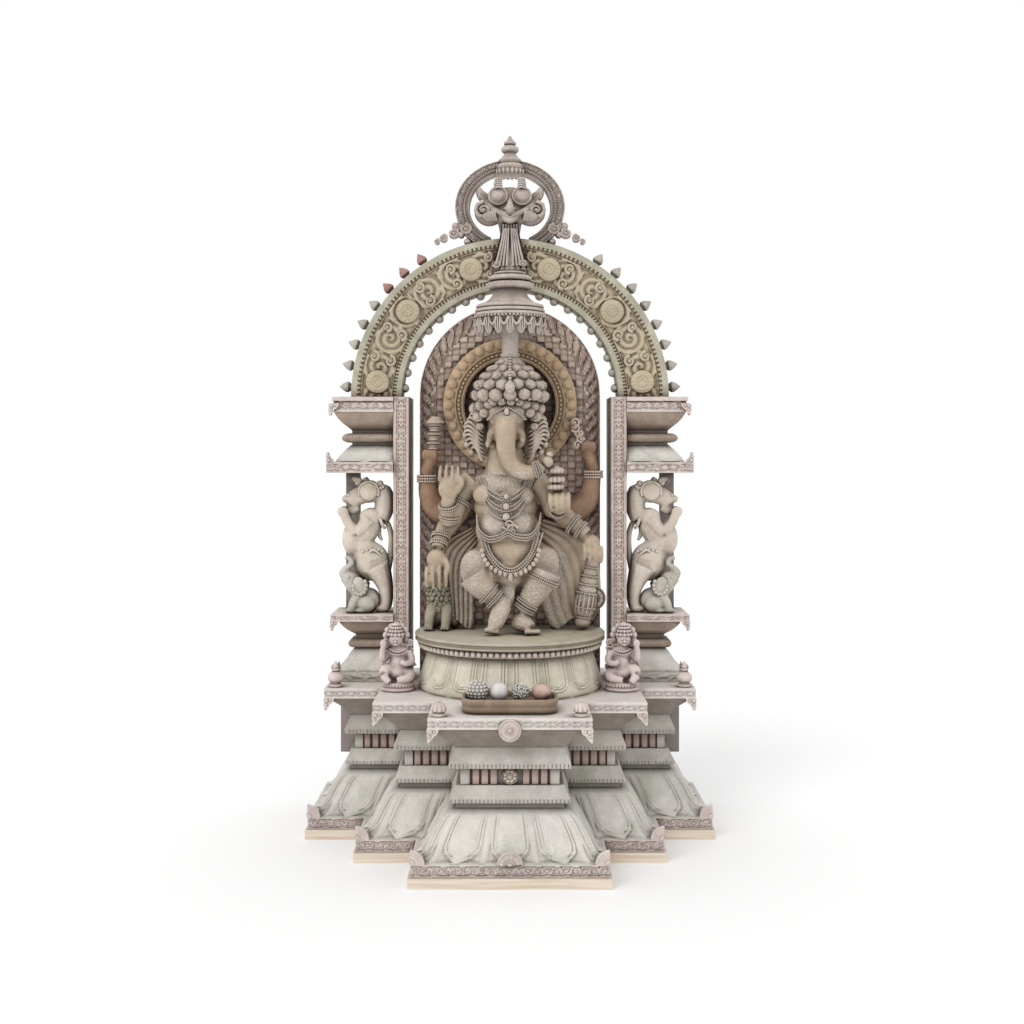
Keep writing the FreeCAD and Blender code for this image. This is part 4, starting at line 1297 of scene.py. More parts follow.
def build_back_plate():
    """The round-topped plate behind the figure, and its ring halo."""
    lows, highs = span("back_plate")
    half, front, back = highs[0], lows[1], highs[1]
    base, spring = lows[2], highs[2] - highs[0]

    def where(u, v):
        s = 2 * u - 1
        x = s * half
        crown = spring + np.sqrt(np.clip(half ** 2 - x ** 2, 0, None))
        z = base + (crown - base) * v
        edge = np.minimum(half - np.abs(x), half - np.hypot(x, np.maximum(z - spring, 0)))
        above = z > spring
        run = np.where(above, spring - base + np.arctan2(z - spring, np.abs(x) + 1e-6) * half, z - base)
        t = edge - 32.0
        leaf_s, _ = cell(run + t * 1.1, 52.0)
        reach = np.hypot(leaf_s / 23.0, t / 27.0)
        leaf = 0.45 * (reach < 1.02) + 0.55 * np.maximum(ridge(reach - 0.86, 0.14),
                                                         0.8 * ridge(reach - 0.46, 0.12))
        border = np.where(np.abs(t) < 28, leaf, 0.3) + 0.6 * ridge(np.abs(t) - 30.0, 3.0)
        ds, column = cell(x, 33.0)
        dz, row = cell(z, 27.0)
        square = np.clip((16.5 - np.maximum(np.abs(ds), np.abs(dz) * 1.2)) / 2.0, 0, 1)
        square = square * ((column + row) % 2 == 0)
        height = np.where(edge > 66.0, square, border)
        y = front + 8.0 - 8.0 * np.clip(height, 0, 1)
        return np.stack([x, y, z], 1) * MM

    bm = bmesh.new()
    panel(bm, 190, 330, where, back * MM)
    for face in bm.faces:
        middle = face.calc_center_median() / MM
        edge = min(half - abs(middle.x), half - math.hypot(middle.x, max(middle.z - spring, 0)))
        # Painted shade: the plate inside the halo, behind the figure, gets the dark hollow stone.
        shaded = math.hypot(middle.x, middle.z - HALO_CENTRE) < HALO_HOLLOW
        face.material_index = 2 if shaded else 0 if edge > 66 else 1
    piece(bm, "carved_back_plate", [finish("plate"), finish("border"), finish("hollow")], "root",
          ["back_plate"])

    lows, highs = span("halo_ring")
    centre = (lows[2] + highs[2]) / 2
    front, back = lows[1], highs[1]
    bm = bmesh.new()
    inner, outer = 196.0, 285.0

    def ring(u, v):
        angle = v * 2 * math.pi
        radius = inner + (outer - inner) * u
        t = radius - inner
        run = angle * 260.0
        ds, _ = cell(run, 2 * math.pi * 260.0 / 36)
        petal = np.sqrt(np.clip(1 - (ds / 20.0) ** 2 - ((t - 66.0) / 21.0) ** 2, 0, 1))
        core = 0.5 * np.sqrt(np.clip(1 - (ds / 8.0) ** 2 - ((t - 66.0) / 9.0) ** 2, 0, 1))
        bead_s, _ = cell(angle * 218.0, 2 * math.pi * 218.0 / 72)
        bead = np.sqrt(np.clip(1 - (bead_s ** 2 + (t - 22) ** 2) / 50.0, 0, 1))
        lines = 0.8 * np.maximum.reduce([ridge(t - 8, 4.0), ridge(t - 36, 3.5)])
        height = np.clip(np.maximum.reduce([petal + core * 0.3, bead, lines]), 0, 1.2)
        y = front + 9.0 - 9.0 * height
        return np.stack([radius * np.cos(angle), y, centre + radius * np.sin(angle)], 1) * MM

    made, _ = place_grid(bm, 30, 432, ring)
    bmesh.ops.remove_doubles(bm, verts=made, dist=1e-6)
    rim = [edge for edge in bm.edges if edge.is_boundary]
    run = bmesh.ops.extrude_edge_only(bm, edges=rim)["geom"]
    far = [item for item in run if isinstance(item, bmesh.types.BMVert)]
    for vert in far:
        vert.co.y = back * MM
    loops = [e for e in bm.edges if e.is_boundary]
    bmesh.ops.bridge_loops(bm, edges=loops)
    piece(bm, "carved_halo", [finish("halo")], "root", ["halo_ring"])


def build_umbrella():
    """A bell of rounded rings over a leafy fringe, on a stem that stands on the crown."""
    lows, highs = span("umbrella")
    y0 = (lows[1] + highs[1]) / 2
    base, top = lows[2], highs[2]
    rim = highs[0]
    level = 2114.0
    profile = [(0, base), (36, base), (38, base + 12), (34, base + 22), (36, level - 40), (42, level - 8),
               (42, level),
               (rim - 34, level), (rim - 12, level - 2), (rim, level + 6)]
    for ring in range(3):
        for step in range(7):
            angle = math.pi * (step / 6 - 0.5)
            profile.append((rim - 7 - 4 * ring + 7 * math.cos(angle),
                            level + 17 + 17 * ring + 8 * math.sin(angle)))
    for step in range(9):
        share = step / 8
        profile.append((rim - 22 - 58 * math.sin(share * math.pi / 2), level + 62 + 60 * share ** 1.5))
    for middle, radius, size in ((2252, 98, 17), (2281, 90, 15), (2301, 66, 9)):
        for step in range(8):
            angle = math.pi * (step / 7 - 0.5)
            profile.append((radius - size + size * math.cos(angle),
                            min(middle + size * 0.84 * math.sin(angle), top - 1)))
    profile.append((0, top))
    bm = bmesh.new()
    turned(bm, profile, (0, y0, 0), count=96)
    for step in range(18):
        angle = 2 * math.pi * step / 18 + math.pi / 18
        direction = np.array((math.cos(angle), math.sin(angle), 0))
        across = np.array((-math.sin(angle), math.cos(angle), 0))
        spot = np.array((0, y0, level - 2)) + direction * (rim - 14)
        ellipsoid(bm, tuple(spot - np.array((0, 0, 24))), (20, 9, 42), turn=(math.degrees(angle) + 90, "Z"),
                  detail=3)
        for shift in (-9, 0, 9):
            points = [spot + direction * 8 + across * shift + np.array((0, 0, 4)),
                      spot + direction * 10 + across * shift * 1.1 + np.array((0, 0, -24)),
                      spot + direction * 6 + across * shift * 0.7 + np.array((0, 0, -52 - 8 * (shift == 0)))]
            tube(bm, [tuple(p) for p in points], [3, 4, 3], around=8, steps=3)
        swag = [spot + across * (26 + s) + direction * 5 + np.array((0, 0, 2 - 30 * (1 - (s / 20) ** 2)))
                for s in (-20, -10, 0, 10, 20)]
        tube(bm, [tuple(p) for p in swag], [5, 6, 6, 6, 5], around=8, steps=2)
    beads(bm, [(math.cos(a) * (rim - 3), y0 + math.sin(a) * (rim - 3), level + 8)
               for a in clock(60)], 6)
    beads(bm, [(math.cos(a) * 96, y0 + math.sin(a) * 96, 2256) for a in clock(48)], 5)
    piece(bm, "stone_umbrella", [finish("umbrella")], "root", ["umbrella"])


# ---------------------------------------------------------------- figure's pedestal

ROUND_CENTRE_Y = 160.0


def build_round_pedestal():
    """Round lotus seat, rope of beads and the plate that the figure rests on."""
    lows, highs = span("lotus_pedestal")
    y0 = ROUND_CENTRE_Y
    flat_back = highs[1]
    base, top = lows[2], highs[2]
    petals = 18

    def where(u, v):
        z = base + (top - base) * np.clip(v, 0, 1)
        share = (z - base) / (top - base)
        radius = highs[0] - 50 * share ** 1.2
        angle = u * 2 * math.pi
        arc = angle * 360.0
        ds, _ = cell(arc, 2 * math.pi * 360.0 / petals)
        half = 58.0
        under = np.where(share < 0.42, (0.42 - share) * (top - base), 0.0)
        edge = np.hypot(ds, under * 1.3) - 50.0
        outlines = (5 * ridge(edge, 5), 4 * ridge(edge + 13, 4.5), 3 * ridge(edge + 24, 4))
        height = 4.0 * np.sqrt(np.clip(1 - (ds / half) ** 2, 0, 1)) + outlines[0] + outlines[1] + outlines[2]
        height = height * np.clip((1 - share) * 8, 0, 1) * np.clip(share * 25, 0, 1)
        radius = radius - 6 + height
        x = radius * np.cos(angle)
        y = np.minimum(y0 + radius * np.sin(angle), flat_back)
        return np.stack([x, y, z], 1) * MM

    bm = bmesh.new()
    place_round(bm, 560, 44, where)
    piece(bm, "lotus_seat", [finish("seat")], "root", ["lotus_pedestal"])

    lows, highs = span("bead_ring")
    bm = bmesh.new()
    radius = highs[0] - 9.0

    def core(u, v):
        angle = u * 2 * math.pi
        reach = radius - 4 + 5 * np.sin(v * math.pi)
        y = np.minimum(y0 + reach * np.sin(angle), flat_back - 1)
        return np.stack([reach * np.cos(angle), y, lows[2] + (highs[2] - lows[2]) * v], 1) * MM

    place_round(bm, 160, 6, core)
    spots = [(math.cos(a) * radius, y0 + math.sin(a) * radius, (lows[2] + highs[2]) / 2)
             for a in clock(96)]
    beads(bm, [s for s in spots if s[1] < flat_back - 12], 12, detail=2, squash=(1, 1, 1.1))
    piece(bm, "rope_of_beads", [finish("cloth")], "root", ["bead_ring"])

    lows, highs = span("figure_plate")
    bm = bmesh.new()
    radius = highs[0]

    def disc(u, v):
        line = np.array([(radius - r, lows[2] + min(h, highs[2] - lows[2])) for r, h in
                         [(6, 0), (1, 4), (0, 9), (6, 13), (6, 19), (0, 23), (0, 29), (6, 34)]])
        row = np.clip(np.rint(v * 7).astype(int), 0, 7)
        angle = u * 2 * math.pi
        reach = line[row, 0]
        y = np.minimum(y0 + reach * np.sin(angle), flat_back)
        return np.stack([reach * np.cos(angle), y, line[row, 1]], 1) * MM

    place_round(bm, 200, 7, disc)
    piece(bm, "figure_floor", [finish("floor")], "root", ["figure_plate"])


def place_round(bm, around, rows, where):
    """A closed round wall from a grid, with its bottom and top shut."""
    made, flat = place_grid(bm, around, rows, where)
    for end in (0.0, 1.0):
        bm.faces.new(edge_row(made, flat, 1, end)[:-1])
    bmesh.ops.remove_doubles(bm, verts=made, dist=1e-6)


# ---------------------------------------------------------------- figure

FLOOR = 828.0
SEAT_Y = 110.0


def seat(x, back, up):
    """A point of the figure: to its side, behind its middle line, and above its plate."""
    return (x, SEAT_Y + back, FLOOR + up)


def limb(bm, spots, radii, steps=5):
    """A tapering tube through the figure's points."""
    tube(bm, [seat(*s) for s in spots], radii, around=18, steps=steps)


def ball(bm, spot, radii, turn=None, detail=3):
    """An ellipsoid at one of the figure's points."""
    ellipsoid(bm, seat(*spot), radii, turn=turn, detail=detail)


def fingers(bm, base, tip, spread_out, radius):
    """Four fingers in a row from a palm towards a tip."""
    base, tip, spread_out = (np.array(item, float) for item in (base, tip, spread_out))
    for i in range(4):
        offset = spread_out * (i - 1.5)
        reach = 1 - 0.07 * abs(i - 1.4)
        points = [base + offset, base + offset + (tip - base) * 0.5 * reach,
                  base + offset * 0.95 + (tip - base) * reach]
        tube(bm, [seat(*p) for p in points], [radius, radius * 0.95, radius * 0.7], around=10, steps=3)


def bracelet(bm, spot, direction, radius, thick, rows):
    """Beaded rings round a limb."""
    normal = Vector(direction).normalized()
    first = normal.orthogonal().normalized()
    second = normal.cross(first)
    centre = Vector(seat(*spot))
    for row in range(rows):
        middle = centre + normal * (row - (rows - 1) / 2) * thick * 1.9
        count = max(10, int(2 * math.pi * radius / (thick * 1.7)))
        for i in range(count):
            a = 2 * math.pi * i / count
            ellipsoid(bm, middle + first * math.cos(a) * radius + second * math.sin(a) * radius,
                      (thick,) * 3, detail=1)


def chain(bm, spots, thick):
    """A row of beads along a path of the figure's points."""
    line = smooth_path(spots, 24)
    steps = np.linalg.norm(np.diff(line, axis=0), axis=1)
    reach = np.concatenate([[0], np.cumsum(steps)])
    count = int(reach[-1] / (thick * 1.7))
    for i in range(count + 1):
        spot = [np.interp(reach[-1] * i / count, reach, line[:, axis]) for axis in range(3)]
        ball(bm, spot, (thick,) * 3, detail=1)


def build_figure():
    """The seated figure, fused in one skin, and the jewellery over it."""
    bm = bmesh.new()
    ball(bm, (-2, 40, 220), (150, 110, 110))
    ball(bm, (0, 0, 330), (140, 122, 118))
    ball(bm, (-2, -12, 262), (96, 116, 92))
    ball(bm, (-6, -6, 420), (136, 112, 110))
    ball(bm, (-14, 12, 520), (138, 92, 92))
    ball(bm, (-26, 14, 600), (146, 82, 66))
    ball(bm, (-96, -52, 566), (56, 34, 44))
    ball(bm, (48, -56, 560), (56, 32, 42))
    limb(bm, [(-20, 20, 650), (-12, 14, 760)], [84, 72])
    ball(bm, (-12, 0, 860), (84, 84, 96))
    ball(bm, (-10, -56, 900), (86, 66, 60))
    ball(bm, (-12, -62, 850), (56, 52, 58))
    for side in (-1, 1):
        ball(bm, (-12 + side * 52, -40, 800), (30, 38, 48))
        ball(bm, (-12 + side * 42, -62, 868), (28, 26, 18))
    limb(bm, [(-12, -84, 868), (-14, -106, 812), (-12, -112, 752), (2, -112, 702), (36, -114, 668),
              (80, -118, 658),
              (118, -120, 672), (134, -120, 690)], [48, 44, 39, 36, 33, 30, 27, 24])
    limb(bm, [(-66, -66, 800), (-84, -96, 776), (-90, -110, 760)], [18, 14, 7])
    limb(bm, [(36, -66, 800), (50, -94, 790), (56, -106, 780)], [17, 13, 7])
    limb(bm, [(-146, 18, 620), (-206, 12, 560), (-244, -8, 452)], [60, 50, 42])
    limb(bm, [(-244, -8, 452), (-256, -36, 506), (-250, -56, 556)], [39, 33, 28])
    ball(bm, (-250, -60, 590), (44, 20, 50))
    fingers(bm, (-250, -66, 622), (-246, -70, 692), (25, 0, 0), 8.8)
    limb(bm, [(-216, -62, 580), (-196, -66, 612), (-198, -66, 642)], [14, 13, 9], steps=3)
    limb(bm, [(-170, 44, 560), (-232, 44, 470), (-272, 28, 416)], [48, 44, 40])
    limb(bm, [(-272, 28, 416), (-290, 0, 380), (-298, -20, 346)], [38, 31, 27])
    ball(bm, (-302, -36, 300), (42, 27, 44))
    for i in range(4):
        limb(bm, [(-340 + 26 * i, -50, 272), (-342 + 27 * i, -72, 236),
                  (-338 + 26 * i, -66, 190 - 6 * (i in (1, 2)))],
             [10, 9, 7], steps=3)
    limb(bm, [(-268, -42, 306), (-252, -60, 268), (-262, -66, 238)], [13, 12, 9], steps=3)
    limb(bm, [(110, 18, 610), (156, 10, 570), (176, 4, 520)], [60, 50, 42])
    limb(bm, [(176, 4, 510), (192, -40, 508), (202, -66, 524)], [42, 37, 34])
    ball(bm, (206, -88, 536), (48, 36, 50))
    for i in range(4):
        limb(bm, [(168 + 25 * i, -104, 572), (168 + 25 * i, -136, 554), (170 + 24 * i, -136, 520),
                  (174 + 22 * i, -116, 502)],
             [10, 10, 9, 8], steps=3)
    limb(bm, [(130, 44, 590), (190, 44, 520), (236, 34, 470)], [50, 46, 42])
    limb(bm, [(236, 34, 470), (290, 12, 430), (324, 2, 400)], [42, 34, 29])
    ball(bm, (344, -8, 362), (38, 32, 40))
    for i in range(4):
        limb(bm, [(312 + 23 * i, -30, 364 - 4 * i), (314 + 23 * i, -52, 338 - 5 * i),
                  (312 + 23 * i, -44, 298 - 4 * i)],
             [10, 10, 8], steps=3)
    limb(bm, [(-70, 10, 270), (-110, -44, 262), (-138, -84, 256)], [92, 92, 84])
    limb(bm, [(-142, -88, 244), (-112, -90, 200), (-68, -84, 156), (-46, -84, 134)], [72, 58, 42, 36])
    limb(bm, [(-18, -78, 142), (-30, -96, 110), (-52, -108, 58), (-66, -112, 24)], [32, 38, 34, 24])
    for i in range(5):
        ball(bm, (-94 + 12 * i, -130 + 2 * i, 22 - 2 * i), (8, 15, 13))
    limb(bm, [(80, 10, 280), (122, -36, 280), (152, -70, 274)], [92, 88, 78])
    limb(bm, [(150, -72, 262), (118, -68, 196), (76, -56, 128), (52, -52, 92)], [72, 60, 46, 40])
    limb(bm, [(30, -50, 52), (58, -72, 44), (92, -96, 26)], [38, 38, 26])
    for i in range(5):
        ball(bm, (70 + 13 * i, -126 + 3 * i, 14), (9, 16, 12))
    for step in range(5):
        limb(bm, [(-22 + 9 * step, -60, 230), (-20 + 8 * step, -78, 170 - 6 * abs(step - 2)),
                  (-14 + 5 * step, -70, 110)],
             [17, 14, 8])
    clay(bm, 5.5)
    lows, highs = span("figure")
    fine = bmesh.new()
    figure_ornament(fine)
    fit_inside(bm, lows, highs, margin=14.0, also=[fine])
    drape = bmesh.new()
    build_side_drapes(drape)
    fit_inside(drape, lows, highs, margin=12.0)
    joined(bm, drape)
    for face in bm.faces:
        middle = face.calc_center_median() / MM
        x, up = middle.x, middle.z - FLOOR
        torso = abs(x + 8 + (up - 450) * 0.06) < 96 and 398 < up < 660 and middle.y < SEAT_Y - 30
        belly = abs(x - 6) < 116 and 225 < up < 400
        legs = up < 340 and -240 < x < 240 and not belly
        head = up > 880
        face.material_index = 1 if torso or legs or head else 0
    piece(bm, "seated_figure", [finish("skin"), lace_stone()], "root", ["figure"], angle=60)
    held = piece(fine, "figure_jewellery", [finish("jewel")], "root", [])


def lace_stone():
    """Stone worked all over in fine pits and curls."""
    made = stone("figure's worked stone", tint(202, 188, 172), tint(186, 170, 154), tint(228, 218, 206),
                 tint(64, 50, 40),
                 rough=(0.6, 0.85), grain=0.8)
    tree = made.node_tree
    if "worked" in tree.nodes:
        return made
    shader = tree.nodes["Principled BSDF"]
    place = tree.nodes.new("ShaderNodeTexCoord").outputs["Object"]
    cells = add_node(tree, "ShaderNodeTexVoronoi", Scale=92.0)
    tree.links.new(place, cells.inputs["Vector"])
    pits = spread(tree, cells.outputs["Distance"], 0.1, 0.62, (1.0, 0.0))
    worked = add_node(tree, "ShaderNodeBump", Strength=0.7, Distance=0.005)
    worked.name = "worked"
    tree.links.new(pits, worked.inputs["Height"])
    before = shader.inputs["Normal"].links[0].from_socket
    tree.links.new(before, worked.inputs["Normal"])
    tree.links.new(worked.outputs["Normal"], shader.inputs["Normal"])
    plain = shader.inputs["Base Color"].links[0].from_socket
    # Painted shade in the grooves between the raised cells.
    shade = mix_colour(tree, spread(tree, pits, 0.0, 0.6, (0.26, 0.0)), plain, tint(96, 80, 66))
    tree.links.new(shade, shader.inputs["Base Color"])
    return made


def build_side_drapes(bm):
    """Pleated cloth that falls from the hips on both sides."""
    for start, middle, end, width in (((120, 70, 420), (250, 78, 300), (318, 80, 70), 190),
                                      ((-120, 70, 400), (-214, 76, 280), (-216, 80, 40), 120)):
        points = smooth_path([start, middle, end], 14)
        count = len(points)
        way = 1 if end[0] > 0 else -1

        def where(u, v):
            row = np.clip(np.rint(v * (count - 1)).astype(int), 0, count - 1)
            spot = points[row]
            share = row / (count - 1)
            reach = width * (0.5 + 0.7 * np.sin(share * math.pi * 0.75))
            t = u - 0.5
            pleat = 7.0 * np.abs(np.sin(u * 7 * math.pi))
            inside = (u > 0.001) & (u < 0.999)
            x = spot[:, 0] - way * t * reach * 1.1
            z = spot[:, 2] - t * reach * 0.9
            y = spot[:, 1] - np.where(inside, pleat + 12, 0)
            return np.stack([x, SEAT_Y + y, np.maximum(z, 3.0) + FLOOR], 1) * MM

        panel(bm, 56, count - 1, where, (SEAT_Y + 84) * MM)


def ear_fan(bm, side, x):
    """A striped ear that hangs from broad folds to a point."""
    for step in range(9):
        up = 876 - 17 * step
        wide = 30 + 58 * math.sin(math.pi * (step + 2.5) / 12.5)
        points = [(x + side * wide, -12, up + 14), (x + side * wide * 0.8, -24, up + 22),
                  (x + side * wide * 0.52, -28, up + 4),
                  (x + side * wide * 0.34, -28, up - 26), (x + side * wide * 0.12, -24, up - 38)]
        limb(bm, points, [5, 7, 7, 7, 4], steps=4)
    ball(bm, (x + side * 34, 8, 806), (56, 12, 92), turn=(side * 10, "Y"))
    for step in range(7):
        angle = math.radians(-60 + 30 * step)
        ball(bm, (x + side * (34 + 50 * math.cos(angle)), -4, 812 + 82 * math.sin(angle)), (13, 13, 14),
             detail=2)


def figure_ornament(bm):
    """Ears, beads, belt, scarf, offerings in hand and anklets over the fused body."""
    for side, x in ((-1, -98), (1, 74)):
        ear_fan(bm, side, x)
    for row, (drop, size) in enumerate(((0, 4), (16, 5), (40, 4), (54, 5), (84, 4))):
        chain(bm, [(-100 - 8 * row, -40, 634), (-84, -84 - 2 * row, 590 - drop),
                   (-14, -104 - 3 * row, 560 - drop * 1.1),
                   (50, -88 - 2 * row, 590 - drop), (70 + 8 * row, -40, 634)], thick=size)
    for up, size in ((560, 11), (520, 14), (478, 16)):
        ball(bm, (-12, -116, up), (size, 10, size * 1.1), detail=2)
        bead_ring_spots = [(-12 + size * 1.4 * math.cos(a), -110, up + size * 1.5 * math.sin(a))
                           for a in clock(11)]
        for spot in bead_ring_spots:
            ball(bm, spot, (4, 4, 4), detail=1)
    for curl, start in (((-2, -124, 448), 200), ((12, -126, 424), 20)):
        spiral(bm, seat(*curl), 26, 6, turns=1.4, start=start)
    for shift, size in ((0, 5), (11, 4), (-10, 4)):
        chain(bm, [(-134, -52, 470 + shift), (-126, -84, 420 + shift), (-86, -116, 388 + shift),
                   (-40, -130, 396 + shift),
                   (-6, -134, 414 + shift), (30, -130, 398 + shift), (84, -116, 396 + shift),
                   (118, -84, 430 + shift),
                   (132, -52, 478 + shift)], thick=size)
    for spread_out, size in ((1.0, 6), (0.88, 5), (1.12, 5)):
        chain(bm, [(6 - 116 * spread_out, -84, 408), (6 - 92 * spread_out, -118, 336),
                   (6 - 46 * spread_out, -138, 356 - 76 * spread_out),
                   (6, -144, 346 - 84 * spread_out), (6 + 46 * spread_out, -138, 356 - 76 * spread_out),
                   (6 + 94 * spread_out, -118, 338), (6 + 118 * spread_out, -84, 410)], thick=size)
    for step in range(17):
        angle = math.pi * (1.04 + 0.92 * step / 16)
        ball(bm, (6 + 118 * math.cos(angle), -126 - 14 * abs(math.sin(angle)), 356 + 108 * math.sin(angle)),
             (10, 8, 12), detail=2)
    ball(bm, (6, -142, 236), (11, 9, 19), detail=2)
    for side in (-1, 1):
        x = -12 + 44 * side
        ball(bm, (x, -84, 862), (17, 9, 8), detail=2)
        chain(bm, [(x - 24, -78, 872), (x, -90, 882), (x + 24, -80, 874)], thick=4)
        for step, (out, back, up, size) in enumerate(((70, -78, 936, 28), (102, -44, 930, 31),
                                                      (130, -8, 918, 30), (92, -70, 900, 23),
                                                      (118, -32, 884, 27), (142, 4, 872, 24),
                                                      (112, -38, 846, 19), (138, -6, 836, 20),
                                                      (112, 40, 920, 40))):
            ball(bm, (-8 + side * out, back, up), (size, size, size * 0.92), detail=3)
            spiral(bm, seat(-8 + side * out, back - size * 0.86, up - 2), size * 0.55, 5, turns=1.3,
                   start=60 * step)
        chain(bm, [(-10 + 78 * side, -96, 872), (-10 + 44 * side, -122, 900), (-10, -128, 922)], thick=5)
    for step, out in enumerate((-52, -18, 16, 50)):
        ball(bm, (-10 + out, -116 + 0.005 * out * out, 944), (21, 22, 20), detail=3)
        spiral(bm, seat(-10 + out, -137 + 0.005 * out * out, 942), 12, 4, turns=1.3, start=70 * step)
    ball(bm, (-10, -128, 904), (11, 8, 17), detail=2)
    for spot, way, radius in (((124, -120, 676), (1, 0, 0.4), 29), ((108, -120, 668), (1, 0, 0.3), 31)):
        bracelet(bm, spot, way, radius, thick=4, rows=2)
    ball(bm, (158, -118, 700), (23, 23, 23), detail=3)
    ball(bm, (166, -112, 728), (14, 14, 14), detail=2)
    for up, size in ((664, 29), (628, 34), (598, 30)):
        for step in range(11):
            a = 2 * math.pi * step / 11
            ball(bm, (192 + size * math.cos(a) * 0.8, -96 + size * math.sin(a) * 0.8, up), (11, 11, 13),
                 detail=2)
        ball(bm, (192, -96, up), (size * 0.85, size * 0.85, 20), detail=3)
    for spot, way, radius in (((-254, -44, 520), (-0.1, -0.5, 1), 37), ((-246, -20, 474), (0.1, -0.3, 1), 43),
                              ((-214, 8, 540), (-0.5, -0.2, -1), 52), ((-294, -8, 364), (-0.2, -0.5, -1), 34),
                              ((-286, 6, 392), (-0.2, -0.5, -1), 37), ((198, -58, 512), (0.4, -0.9, 0.3), 41),
                              ((300, 10, 418), (0.8, -0.2, -0.6), 38),
                              ((270, 18, 442), (0.8, -0.2, -0.6), 42),
                              ((-58, -84, 146), (-0.8, 0, 0.7), 45), ((-84, -86, 170), (-0.8, 0, 0.7), 50),
                              ((60, -54, 104), (0.5, 0, 0.8), 47), ((72, -56, 124), (0.5, 0, 0.8), 49),
                              ((136, -70, 226), (0.4, 0, 0.9), 70)):
        bracelet(bm, spot, way, radius, thick=5, rows=2)


def build_crown():
    """A dome of big curls, widest just above the ears."""
    lows, highs = span("crown")
    y0 = (lows[1] + highs[1]) / 2
    base, top = lows[2], highs[2]
    tall = top - base
    bm = bmesh.new()
    turned(bm, [(0, 0), (110, 0), (130, 10), (134, 30), (124, 62), (104, 96), (80, 126), (58, 148),
                (44, tall - 2),
                (0, tall)], (0, y0, base), count=72)
    pick = random.Random(7)
    for row, (radius, height, size, count) in enumerate(((134, 14, 32, 15), (124, 54, 31, 14),
                                                         (98, 92, 29, 12),
                                                         (72, 124, 25, 10), (46, 150, 19, 8))):
        for step in range(count):
            angle = 2 * math.pi * (step + 0.5 * (row % 2)) / count - math.pi / 2
            direction = np.array((math.cos(angle), math.sin(angle), 0.0))
            across = np.array((-math.sin(angle), math.cos(angle), 0.0))
            spot = np.array((0.0, y0, base + height + pick.uniform(-4, 4))) + direction * radius
            reach = size * pick.uniform(0.86, 1.06)
            ellipsoid(bm, tuple(spot), (reach, reach, reach * 0.9), detail=3)
            if direction[1] < 0.5:
                for turn in (1, -1):
                    spiral(bm, tuple(spot + direction * reach * 0.82 + across * turn * reach * 0.42),
                           reach * 0.36,
                           reach * 0.13, turns=1.2, start=90, way=turn, plane=(tuple(across), (0, 0, 1)))
                ellipsoid(bm, tuple(spot + across * reach * 0.9 - np.array((0, 0, reach * 0.7))), (9, 9, 9),
                          detail=2)
    ellipsoid(bm, (0, y0 - 160, base + 40), (20, 12, 28), detail=3)
    for step in range(9):
        height = 66 + 13 * step
        reach = np.interp(height, (60, 96, 126, 148, 175), (152, 128, 100, 70, 44))
        beads(bm, [(0, y0 - reach, base + height)], 8, detail=2)
    fit_inside(bm, lows, highs, margin=10.0)
    piece(bm, "curled_crown", [lace_stone()], "root", ["crown"])


